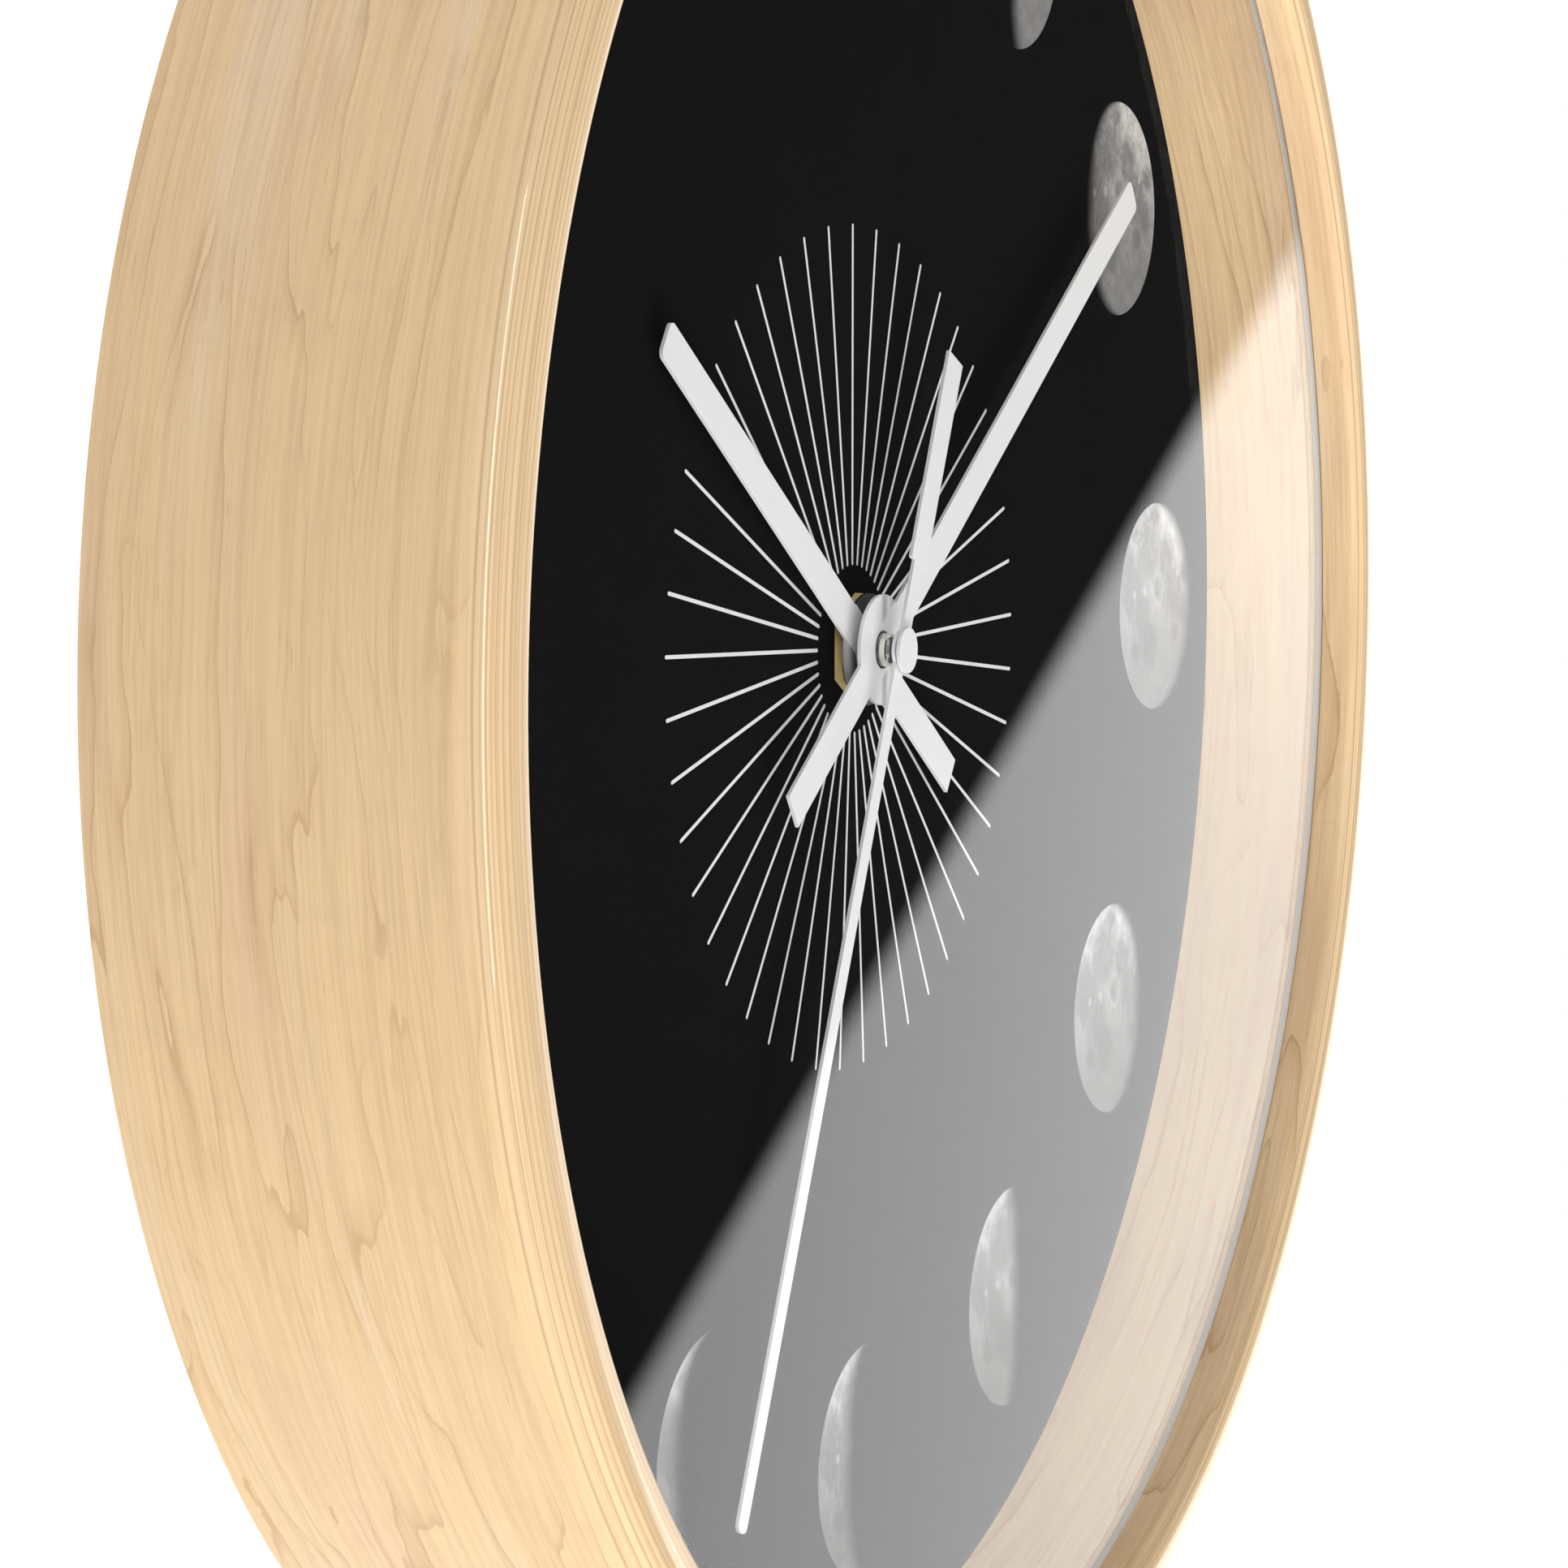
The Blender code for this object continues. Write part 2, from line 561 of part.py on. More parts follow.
# Ring, cover and dial
def make_ring():
    rounding = arc(
        RING_RADIUS - OUTER_ROUNDING, RING_DEPTH - OUTER_ROUNDING,
        OUTER_ROUNDING, 90.0, 0.0, ROUNDING_FACETS,
    )
    back = [
        (RING_RADIUS, BACK_CHAMFER),
        (RING_RADIUS - BACK_CHAMFER, 0.0),
        (REBATE_RADIUS + BACK_CHAMFER, 0.0),
        (REBATE_RADIUS, BACK_CHAMFER),
    ]
    shoulder = [(REBATE_RADIUS, SHOULDER_HEIGHT), (INNER_RADIUS, SHOULDER_HEIGHT)]
    groove_back = COVER_BACK - SEAT
    groove_front = COVER_BACK + COVER_THICKNESS + SEAT
    groove = [
        (INNER_RADIUS, groove_back),
        (INNER_RADIUS + GROOVE_CUT, groove_back),
        (INNER_RADIUS + GROOVE_CUT, groove_front),
        (INNER_RADIUS, groove_front),
    ]
    lip = arc(
        INNER_RADIUS + INNER_ROUNDING, RING_DEPTH - INNER_ROUNDING,
        INNER_ROUNDING, 180.0, 90.0, INNER_FACETS,
    )
    profile = rounding + back + shoulder + groove + lip
    piece("frame_ring", turned(profile, RING_STEPS), MAPLE)


def make_cover():
    front = COVER_BACK + COVER_THICKNESS
    profile = [(0.0, front), (COVER_RADIUS, front), (COVER_RADIUS, COVER_BACK), (0.0, COVER_BACK)]
    piece("front_cover", turned(profile, RING_STEPS), ACRYLIC)


def make_dial():
    rim = circle(DIAL_RADIUS, RING_STEPS)
    hole = circle(STEM_HOLE, PIPE_STEPS)
    piece("dial_print", plate(rim, PRINT_BACK, DIAL_HEIGHT, [hole]), PRINT)
    piece("dial_board", plate(rim, BOARD_BACK, BOARD_FRONT, [hole]), HARDBOARD)
    hoop_back = HOOP_FRONT - HOOP_LENGTH
    hoop = tube(HOOP_RADIUS, HOOP_RADIUS - HOOP_WALL, hoop_back, HOOP_FRONT, RING_STEPS)
    piece("backing_hoop", hoop, MAPLE)


# Stem, washer and nut
def make_fixing():
    washer = tube(WASHER_RADIUS, STEM_HOLE, WASHER_BACK, WASHER_FRONT, HUB_STEPS)
    piece("cushion_washer", washer, RUBBER)
    profile = [
        (STEM_RADIUS, NUT_FRONT),
        (STEM_RADIUS, FLANGE_FRONT),
        (FLANGE_RADIUS, FLANGE_FRONT),
        (FLANGE_RADIUS, FLANGE_BACK),
        (STEM_BORE, FLANGE_BACK),
        (STEM_BORE, NUT_FRONT),
    ]
    piece("threaded_stem", turned(profile), BRASS)
    corners = [polar(NUT_FLATS / math.sqrt(3.0), 30.0 + 60.0 * k) for k in range(6)]
    bore = circle(STEM_HOLE, PIPE_STEPS)
    nut = plate([tuple(corner) for corner in corners], NUT_BACK, NUT_FRONT, [bore])
    piece("fixing_nut", nut, BRASS)


# Movement case and lid
def keyhole():
    """The hanger's opening: a round hole for the nail's head, with a narrow slot above it."""
    half_angle = math.degrees(math.asin(NAIL_SLOT_RADIUS / NAIL_HEAD_RADIUS))
    head = arc(
        0.0, NAIL_HEAD_Y, NAIL_HEAD_RADIUS, 90.0 + half_angle, 450.0 - half_angle, PIPE_STEPS
    )
    slot = arc(0.0, NAIL_SLOT_Y, NAIL_SLOT_RADIUS, 0.0, 180.0, PIN_STEPS)
    return head + slot


def make_case():
    shell = block(-HALF_CASE, HALF_CASE, -HALF_CASE, HALF_CASE, CASE_BACK, CASE_FRONT)
    half_hanger = HANGER_WIDTH / 2
    round_y = BEARING_Y + HANGER_LAND - half_hanger
    root_y = HALF_CASE - CASE_WALL / 2
    tab = [(-half_hanger, root_y), (half_hanger, root_y)]
    tab += arc(0.0, round_y, half_hanger, 0.0, 180.0, HUB_STEPS // 2)
    hanger = plate(tab, WALL_TOP, WALL_TOP + HANGER_THICKNESS, [keyhole()])
    gear_room = block(-HALF_ROOM, HALF_ROOM, ROOM_LOW, HALF_ROOM, 0.0, ROOM_FLOOR)
    bay = block(-HALF_ROOM, HALF_ROOM, BAY_LOW, BAY_HIGH, 0.0, CASE_FRONT - BAY_FLOOR)
    lid_seat = block(-2 * HALF_CASE, 2 * HALF_CASE, ROOM_LOW, 2 * HALF_CASE, 0.0, WALL_TOP)
    slot_reach = BAY_HIGH - CASE_WALL
    slot_inner = CONTACT_X - CONTACT_THICKNESS / 2 - SEAT
    slot_front = CONTACT_FRONT + SEAT
    slot_top = ROOM_LOW + CASE_WALL
    slots = [
        block(left, left + HALF_ROOM - slot_inner, slot_reach, slot_top, 0.0, slot_front)
        for left in (-HALF_ROOM, slot_inner)
    ]
    hollow = cut(shell, gear_room, bay, lid_seat, *slots)
    stem_hole = rod(STEM_HOLE, ROOM_FLOOR - CASE_WALL, CASE_FRONT + CASE_WALL, HUB_STEPS)
    root = ROOM_FLOOR + CASE_WALL / 2
    posts = [rod(POST_RADIUS, CENTRE_TOP + 0.3 * MM, root, PIN_STEPS, tuple(MOTION_AXIS))]
    bores = [stem_hole]
    bearings = (
        (THIRD_AXIS, WHEEL_ARBOR, THIRD_BOSS_END),
        (SETTING_AXIS, SETTING_ARBOR, THIRD_BOSS_END),
        (ROTOR_AXIS, ROTOR_ARBOR, ROTOR_BOSS_END),
    )
    for axis, arbor, end in bearings:
        bore = arbor + RUNNING
        posts.append(rod(bore + BOSS_WALL, end, root, PIPE_STEPS, tuple(axis)))
        hole_end = end + PIVOT_LENGTH + RUNNING
        bores.append(rod(bore, end - MM, hole_end, PIN_STEPS, tuple(axis)))
    for side in (-1, 1):
        centre = (COIL_X, ROTOR_AXIS.y + side * SCREW_Y)
        posts.append(rod(SCREW_POST, CORE_FRONT + SEAT, root, PIPE_STEPS, centre))
        bores.append(rod(SCREW_HOLE, 0.0, STATOR_BACK + SCREW_LENGTH + SEAT, PIN_STEPS, centre))
    for y in CIRCUIT_POST_YS:
        centre = (CIRCUIT_POST_X, y)
        shoulder = CIRCUIT_BACK + CIRCUIT_THICKNESS + SEAT
        posts.append(rod(CIRCUIT_POST_RADIUS, shoulder, root, PIPE_STEPS, centre))
        pin_end = CIRCUIT_BACK - 0.5 * MM
        posts.append(rod(CIRCUIT_PIN_RADIUS, pin_end, shoulder + OVERLAP, PIN_STEPS, centre))
    piece("movement_case", cut(joined(hollow, hanger, *posts), *bores), BLACK_PLASTIC)


def make_lid():
    well_bore = KNOB_RADIUS + WELL_GAP
    well_floor = CASE_BACK + WELL_DEPTH
    centre = tuple(SETTING_AXIS)
    lid = block(-HALF_CASE, HALF_CASE, ROOM_LOW + SEAT, HALF_CASE, CASE_BACK, LID_INNER)
    cup = rod(well_bore + WELL_WALL, CASE_BACK + OVERLAP, well_floor + WELL_WALL, HUB_STEPS, centre)
    tongue_x = HALF_ROOM - SEAT
    tongue_end = LID_INNER + TONGUE_LENGTH
    tongues = [
        block(
            left, left + TONGUE_THICKNESS, TONGUE_Y, TONGUE_Y + TONGUE_WIDTH,
            LID_INNER - OVERLAP, tongue_end,
        )
        for left in (-tongue_x, tongue_x - TONGUE_THICKNESS)
    ]
    post_end = SECOND_TOP + 0.4 * MM
    post = rod(POST_RADIUS, LID_INNER - OVERLAP, post_end, PIN_STEPS, tuple(INTERMEDIATE_AXIS))
    hollows = [
        rod(well_bore, 0.0, well_floor, HUB_STEPS, centre),
        rod(SETTING_ARBOR + RUNNING, 0.0, well_floor + MM, PIN_STEPS, centre),
    ]
    pivots = ((0.0, 0.0), SECOND_ARBOR), (THIRD_AXIS, WHEEL_ARBOR), (ROTOR_AXIS, ROTOR_ARBOR)
    for axis, arbor in pivots:
        hole_back = PIVOT_BACK - SEAT
        hollows.append(rod(arbor + RUNNING, hole_back, LID_INNER + MM, PIN_STEPS, tuple(axis)))
    piece("movement_lid", cut(joined(lid, cup, post, *tongues), *hollows), BLACK_PLASTIC)


# Gear train. Every pinion has a tooth along local X, and each wheel's teeth fit its pinion's.
def wheel(teeth, module, tooth_angle, low, high):
    return plate(toothed(teeth, module, tooth_angle, WHEEL_TOOTH), low, high)


def pinion(teeth, module, low, high, tooth_angle=0.0):
    return plate(toothed(teeth, module, tooth_angle, PINION_TOOTH), low, high)


def bored(mesh, radius, steps=PIN_STEPS):
    """The mesh with a hole right through it along its axis."""
    return cut(mesh, rod(radius, 0.0, RING_DEPTH, steps))


def centre_fit():
    return meshing(CENTRE_TEETH, THIRD_DIRECTION + 180.0, THIRD_PINION)


def make_going_train():
    rotor_pinion_back = INTERMEDIATE_TOP - INTERMEDIATE_THICKNESS - PINION_EXTRA
    rotor_pinion_front = INTERMEDIATE_TOP + PINION_EXTRA
    hub = root_radius(ROTOR_TEETH, ROTOR_MODULE) - HUB_STEP
    rotor = joined(
        pinion(ROTOR_TEETH, ROTOR_MODULE, rotor_pinion_back, rotor_pinion_front),
        rod(hub, rotor_pinion_front - OVERLAP, ROTOR_BOSS_END - 0.4 * MM),
        rod(ROTOR_ARBOR, PIVOT_BACK, ROTOR_BOSS_END + PIVOT_LENGTH),
    )
    piece("rotor_pinion", rotor, GEAR_PLASTIC, ROTOR_AXIS)
    magnet = tube(MAGNET_RADIUS, MAGNET_BORE, MAGNET_BACK, MAGNET_FRONT)
    piece("rotor_magnet", magnet, MAGNET, ROTOR_AXIS)

    pinion_front = SECOND_TOP + PINION_EXTRA
    pinion_back = SECOND_TOP - WHEEL_THICKNESS - PINION_EXTRA
    fit = meshing(INTERMEDIATE_TEETH, ROTOR_DIRECTION + 180.0, ROTOR_TEETH)
    intermediate = joined(
        wheel(
            INTERMEDIATE_TEETH, ROTOR_MODULE, fit,
            INTERMEDIATE_TOP - INTERMEDIATE_THICKNESS, INTERMEDIATE_TOP,
        ),
        rod(INTERMEDIATE_HUB, INTERMEDIATE_TOP - OVERLAP, pinion_back + OVERLAP, PIPE_STEPS),
        pinion(INTERMEDIATE_PINION, SECOND_MODULE, pinion_back, pinion_front),
    )
    bore = POST_RADIUS + RUNNING
    piece("intermediate_wheel", bored(intermediate, bore), GEAR_PLASTIC, INTERMEDIATE_AXIS)

    third_back = THIRD_TOP - WHEEL_THICKNESS
    fit = meshing(SECOND_TEETH, ROTOR_DIRECTION + 180.0, INTERMEDIATE_PINION)
    second = joined(
        wheel(SECOND_TEETH, SECOND_MODULE, fit, SECOND_TOP - WHEEL_THICKNESS, SECOND_TOP),
        rod(SECOND_ARBOR, PIVOT_BACK, SECOND_HEIGHT - HAND_THICKNESS - SEAT),
        pinion(
            SECOND_PINION, THIRD_MODULE, third_back - PINION_EXTRA, THIRD_TOP + PINION_EXTRA
        ),
    )
    piece("second_wheel", second, GEAR_PLASTIC)

    centre_back = CENTRE_TOP - WHEEL_THICKNESS
    fit = meshing(THIRD_TEETH, THIRD_DIRECTION, SECOND_PINION)
    third = joined(
        wheel(THIRD_TEETH, THIRD_MODULE, fit, third_back, THIRD_TOP),
        rod(WHEEL_ARBOR, PIVOT_BACK, THIRD_BOSS_END + PIVOT_LENGTH),
        pinion(
            THIRD_PINION, CENTRE_MODULE, centre_back - PINION_EXTRA, CENTRE_TOP + PINION_EXTRA
        ),
    )
    piece("third_wheel", third, GEAR_PLASTIC, THIRD_AXIS)

    centre = wheel(CENTRE_TEETH, CENTRE_MODULE, centre_fit(), centre_back, CENTRE_TOP)
    piece("centre_wheel", bored(centre, CANNON_SLEEVE + SEAT, PIPE_STEPS), GEAR_PLASTIC)


# Motion work: minute pipe, motion wheel and hour wheel
def make_motion_work():
    motion_back = MOTION_TOP - WHEEL_THICKNESS
    hour_back = HOUR_TOP - WHEEL_THICKNESS
    cannon = joined(
        pinion(
            CANNON_TEETH, MOTION_MODULE, motion_back - PINION_EXTRA, MOTION_TOP + PINION_EXTRA
        ),
        rod(CANNON_SLEEVE, CENTRE_TOP - WHEEL_THICKNESS, MOTION_TOP, PIPE_STEPS),
        rod(MINUTE_PIPE, MOTION_TOP, MINUTE_HEIGHT, PIPE_STEPS),
    )
    piece("minute_pipe", bored(cannon, MINUTE_BORE, PIPE_STEPS), STEEL)

    fit = meshing(MOTION_TEETH, MOTION_DIRECTION, CANNON_TEETH)
    motion = joined(
        wheel(MOTION_TEETH, MOTION_MODULE, fit, motion_back, MOTION_TOP),
        rod(MOTION_HUB, MOTION_TOP - OVERLAP, hour_back + OVERLAP, PIPE_STEPS),
        pinion(MOTION_PINION, HOUR_MODULE, hour_back - PINION_EXTRA, HOUR_TOP + PINION_EXTRA),
    )
    piece("motion_wheel", bored(motion, POST_RADIUS + RUNNING), GEAR_PLASTIC, MOTION_AXIS)

    fit = meshing(HOUR_TEETH, MOTION_DIRECTION + 180.0, MOTION_PINION)
    hour = joined(
        wheel(HOUR_TEETH, HOUR_MODULE, fit, hour_back, HOUR_TOP),
        rod(HOUR_PIPE, HOUR_TOP - OVERLAP, HOUR_PIPE_END, PIPE_STEPS),
    )
    piece("hour_wheel", bored(hour, HOUR_BORE, PIPE_STEPS), GEAR_PLASTIC)


def make_setting_knob():
    arbor = joined(
        rod(SETTING_ARBOR, CASE_BACK, THIRD_BOSS_END + PIVOT_LENGTH),
        pinion(
            SETTING_TEETH, CENTRE_MODULE,
            CENTRE_TOP - WHEEL_THICKNESS - PINION_EXTRA, CENTRE_TOP + PINION_EXTRA,
            meshing(SETTING_TEETH, SETTING_DIRECTION, CENTRE_TEETH, centre_fit()),
        ),
    )
    piece("setting_arbor", arbor, GEAR_PLASTIC, SETTING_AXIS)
    grip = []
    for k in range(2 * KNOB_LOBES):
        radius = KNOB_RADIUS - KNOB_LOBE_DEPTH * (k % 2)
        grip.append(tuple(polar(radius, 180.0 * k / KNOB_LOBES)))
    knob_front = CASE_BACK + WELL_DEPTH - SEAT
    hole = circle(SETTING_ARBOR + RUNNING, PIN_STEPS)
    knob = plate(grip, knob_front - KNOB_THICKNESS, knob_front, [hole])
    piece("setting_knob", knob, BLACK_PLASTIC, SETTING_AXIS)


# Step motor
def make_motor():
    base_left = ROTOR_AXIS.x - STATOR_LEFT
    base_right = ROTOR_AXIS.x + STATOR_RIGHT
    end = COIL_X + CORE_END_HALF_WIDTH
    middle = ROTOR_AXIS.y
    outline = [
        (base_left, middle - ARM_OUTER),
        (end, middle - ARM_OUTER),
        (end, middle - ARM_INNER),
        (base_right, middle - ARM_INNER),
        (base_right, middle + ARM_INNER),
        (end, middle + ARM_INNER),
        (end, middle + ARM_OUTER),
        (base_left, middle + ARM_OUTER),
    ]
    screw_centres = [(COIL_X, middle + side * SCREW_Y) for side in (-1, 1)]
    screw_holes = [circle(SCREW_HOLE, PIN_STEPS, centre) for centre in screw_centres]
    rotor_hole = circle(ROTOR_HOLE, PIPE_STEPS, tuple(ROTOR_AXIS))
    stator = plate(outline, STATOR_BACK, STATOR_FRONT, [rotor_hole, *screw_holes])
    piece("stator_plate", stator, STEEL)

    narrow, broad = CORE_HALF_WIDTH, CORE_END_HALF_WIDTH
    core_right = [
        (broad, -ARM_OUTER), (broad, -ARM_INNER), (narrow, -ARM_INNER),
        (narrow, ARM_INNER), (broad, ARM_INNER), (broad, ARM_OUTER),
    ]
    core_left = [(-x, y) for x, y in reversed(core_right)]
    core = [(COIL_X + x, middle + y) for x, y in core_right + core_left]
    piece("coil_core", plate(core, CORE_BACK, CORE_FRONT, screw_holes), STEEL)

    flange_inner = BOBBIN_HALF_LENGTH - BOBBIN_FLANGE_THICKNESS
    bobbin_profile = [
        (0.0, BOBBIN_HALF_LENGTH),
        (BOBBIN_FLANGE, BOBBIN_HALF_LENGTH),
        (BOBBIN_FLANGE, flange_inner),
        (BOBBIN_TUBE, flange_inner),
        (BOBBIN_TUBE, -flange_inner),
        (BOBBIN_FLANGE, -flange_inner),
        (BOBBIN_FLANGE, -BOBBIN_HALF_LENGTH),
        (0.0, -BOBBIN_HALF_LENGTH),
    ]
    half_hole = CORE_HALF_WIDTH + SEAT
    half_height = STATOR_THICKNESS / 2 + SEAT
    reach = 2 * BOBBIN_HALF_LENGTH
    core_passage = block(-half_hole, half_hole, -half_height, half_height, -reach, reach)
    bobbin = cut(turned(bobbin_profile, PIPE_STEPS), core_passage)
    winding = tube(
        WINDING_RADIUS, BOBBIN_TUBE + SEAT, SEAT - flange_inner, flange_inner - SEAT
    )
    for name, mesh, finish in (
        ("coil_bobbin", bobbin, GEAR_PLASTIC),
        ("coil_winding", winding, COPPER),
    ):
        coil = piece(name, mesh, finish)
        coil.location = (COIL_X, middle, (CORE_BACK + CORE_FRONT) / 2)
        coil.rotation_euler = (math.radians(-90.0), 0.0, 0.0)

    screw_profile = [
        (0.0, STATOR_BACK + SCREW_LENGTH),
        (SCREW_SHANK, STATOR_BACK + SCREW_LENGTH),
        (SCREW_SHANK, STATOR_BACK - SEAT),
        (SCREW_HEAD, STATOR_BACK - SEAT),
        (SCREW_HEAD, STATOR_BACK - SEAT - SCREW_HEAD_THICKNESS),
        (0.0, STATOR_BACK - SEAT - SCREW_HEAD_THICKNESS),
    ]
    for name, centre in zip(("stator_screw_lower", "stator_screw_upper"), screw_centres):
        piece(name, turned(screw_profile, PIN_STEPS), STEEL, centre)


# Circuit board, crystal and chip
def make_circuit():
    outline = [
        (BOARD_LEFT, BOARD_LOW), (BOARD_RIGHT, BOARD_LOW),
        (BOARD_RIGHT, BOARD_HIGH), (BOARD_LEFT, BOARD_HIGH),
    ]
    holes = [
        circle(CIRCUIT_PIN_RADIUS + SEAT, PIN_STEPS, (CIRCUIT_POST_X, y)) for y in CIRCUIT_POST_YS
    ]
    board = plate(outline, CIRCUIT_BACK, CIRCUIT_BACK + CIRCUIT_THICKNESS, holes)
    piece("circuit_board", board, CIRCUIT_GREEN)

    crystal = rod(CRYSTAL_RADIUS, -CRYSTAL_LENGTH / 2, CRYSTAL_LENGTH / 2, PIPE_STEPS)
    can = piece("quartz_crystal", crystal, NICKEL)
    can.location = (CRYSTAL_X, CRYSTAL_Y, CIRCUIT_BACK - SEAT - CRYSTAL_RADIUS)
    can.rotation_euler = (math.radians(90.0), 0.0, 0.0)

    chip_front = CIRCUIT_BACK - SEAT
    dome = [
        (CHIP_RADIUS * math.sin(a), chip_front - CHIP_HEIGHT * math.cos(a))
        for a in (math.radians(90.0 - 22.5 * k) for k in range(5))
    ]
    dome[-1] = (0.0, chip_front - CHIP_HEIGHT)
    piece("clock_chip", turned([(0.0, chip_front), *dome], PIPE_STEPS), EPOXY, (CHIP_X, CHIP_Y))


# Battery and contacts
def make_battery():
    half = CELL_LENGTH / 2
    body_end = half - NUB_LENGTH
    profile = [
        (0.0, half),
        (NUB_RADIUS, half),
        (NUB_RADIUS, body_end),
        (CELL_RADIUS - CELL_EDGE, body_end),
        (CELL_RADIUS, body_end - CELL_EDGE),
        (CELL_RADIUS, CELL_EDGE - half),
        (CELL_RADIUS - CELL_EDGE, -half),
        (0.0, -half),
    ]
    cell = piece("battery", turned(profile, HUB_STEPS), CELL_SLEEVE)
    cell.location = (NUB_END_X + half, CELL_Y, CELL_HEIGHT)
    cell.rotation_euler = (0.0, math.radians(-90.0), 0.0)


def make_contacts():
    foot_y = BAY_LOW + CONTACT_FOOT
    positive_path = [(-CONTACT_X, foot_y), (-CONTACT_X, BOARD_LOW + CONTACT_THICKNESS)]
    positive = strip(positive_path, CONTACT_THICKNESS, CONTACT_BACK, CONTACT_FRONT)
    piece("positive_contact", positive, NICKEL)
    run_y = ROOM_LOW + SEAT + CONTACT_THICKNESS / 2
    negative_path = [
        (CONTACT_X, foot_y),
        (CONTACT_X, CELL_Y - SPRING_HALF_SPAN),
        (CONTACT_X - SPRING_SWELL, CELL_Y),
        (CONTACT_X, CELL_Y + SPRING_HALF_SPAN),
        (CONTACT_X, run_y),
        (BOARD_RIGHT + SEAT + CONTACT_THICKNESS / 2, run_y),
        (BOARD_RIGHT + SEAT + CONTACT_THICKNESS / 2, BOARD_LOW + 2.0 * MM),
    ]
    negative = strip(negative_path, CONTACT_THICKNESS, CONTACT_BACK, CONTACT_FRONT)
    piece("negative_contact", negative, NICKEL)


# Hands
def hand_outline(length, width, hub, rounding, tail, tail_width, tail_start=0.0):
    """A hand that points along local Y: a bar with a round hub and a straight tail."""
    half = width / 2
    tail_half = tail_width / 2
    meets = math.degrees(math.asin(half / hub))
    facets = 4
    points = arc(half - rounding, length - rounding, rounding, 0.0, 90.0, facets)
    points += arc(rounding - half, length - rounding, rounding, 90.0, 180.0, facets)
    points += arc(0.0, 0.0, hub, 90.0 + meets, 270.0 - meets, HUB_STEPS // 2)
    if tail_start:
        points += [(-half, -tail_start), (-tail_half, -tail_start)]
    points += [(-tail_half, -tail), (tail_half, -tail)]
    if tail_start:
        points += [(tail_half, -tail_start), (half, -tail_start)]
    points += arc(0.0, 0.0, hub, meets - 90.0, 90.0 - meets, HUB_STEPS // 2)
    return points


def make_hour_hand():
    outline = hand_outline(
        HOUR_LENGTH, HAND_WIDTH, HOUR_HUB, HAND_ROUNDING, HAND_TAIL, HAND_WIDTH
    )
    back = HOUR_HEIGHT - HAND_THICKNESS
    hole = circle(COLLET_NECK + SEAT, HUB_STEPS)
    turn = -math.radians(HOUR_ANGLE)
    piece("hour_hand", plate(outline, back, HOUR_HEIGHT, [hole]), WHITE_PAINT, turn=turn)
    collet_profile = [
        (COLLET_RADIUS, COLLET_FRONT),
        (COLLET_RADIUS, HOUR_HEIGHT + SEAT),
        (COLLET_NECK, HOUR_HEIGHT + SEAT),
        (COLLET_NECK, back),
        (COLLET_BORE, back),
        (COLLET_BORE, COLLET_FRONT),
    ]
    piece("hour_collet", turned(collet_profile), WHITE_PAINT)


def make_minute_hand():
    outline = hand_outline(
        MINUTE_LENGTH, HAND_WIDTH, MINUTE_HUB, HAND_ROUNDING, HAND_TAIL, HAND_WIDTH
    )
    back = MINUTE_HEIGHT - HAND_THICKNESS
    hole = circle(MINUTE_PIPE + SEAT, PIPE_STEPS)
    turn = -math.radians(MINUTE_ANGLE)
    piece("minute_hand", plate(outline, back, MINUTE_HEIGHT, [hole]), WHITE_PAINT, turn=turn)
    bore = MINUTE_PIPE - MINUTE_COLLET_WALL
    collet = tube(MINUTE_PIPE, bore, MINUTE_COLLET_BACK, MINUTE_COLLET_FRONT)
    piece("minute_collet", collet, CHROME)


def make_second_hand():
    outline = hand_outline(
        SECOND_LENGTH, SECOND_WIDTH, SECOND_HUB, HAND_ROUNDING, SECOND_TAIL,
        SECOND_TAIL_WIDTH, SECOND_TAIL_START,
    )
    back = SECOND_HEIGHT - HAND_THICKNESS
    turn = -math.radians(SECOND_ANGLE)
    piece("second_hand", plate(outline, back, SECOND_HEIGHT), WHITE_PAINT, turn=turn)
    cap_back = SECOND_HEIGHT + SEAT
    cap = rod(CAP_RADIUS, cap_back, cap_back + CAP_THICKNESS, HUB_STEPS)
    piece("second_hand_cap", cap, WHITE_PAINT)
    bore = SECOND_ARBOR + RUNNING
    sleeve = tube(SECOND_TUBE_RADIUS, bore, SECOND_TUBE_BACK, SECOND_TUBE_FRONT)
    piece("second_hand_tube", sleeve, CHROME)


make_ring()
make_cover()
make_dial()
make_fixing()
make_case()
make_lid()
make_going_train()
make_motion_work()
make_setting_knob()
make_motor()
make_circuit()
make_battery()
make_contacts()
make_hour_hand()
make_minute_hand()
make_second_hand()
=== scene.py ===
import math

import bmesh
import bpy
from mathutils import Matrix, Vector


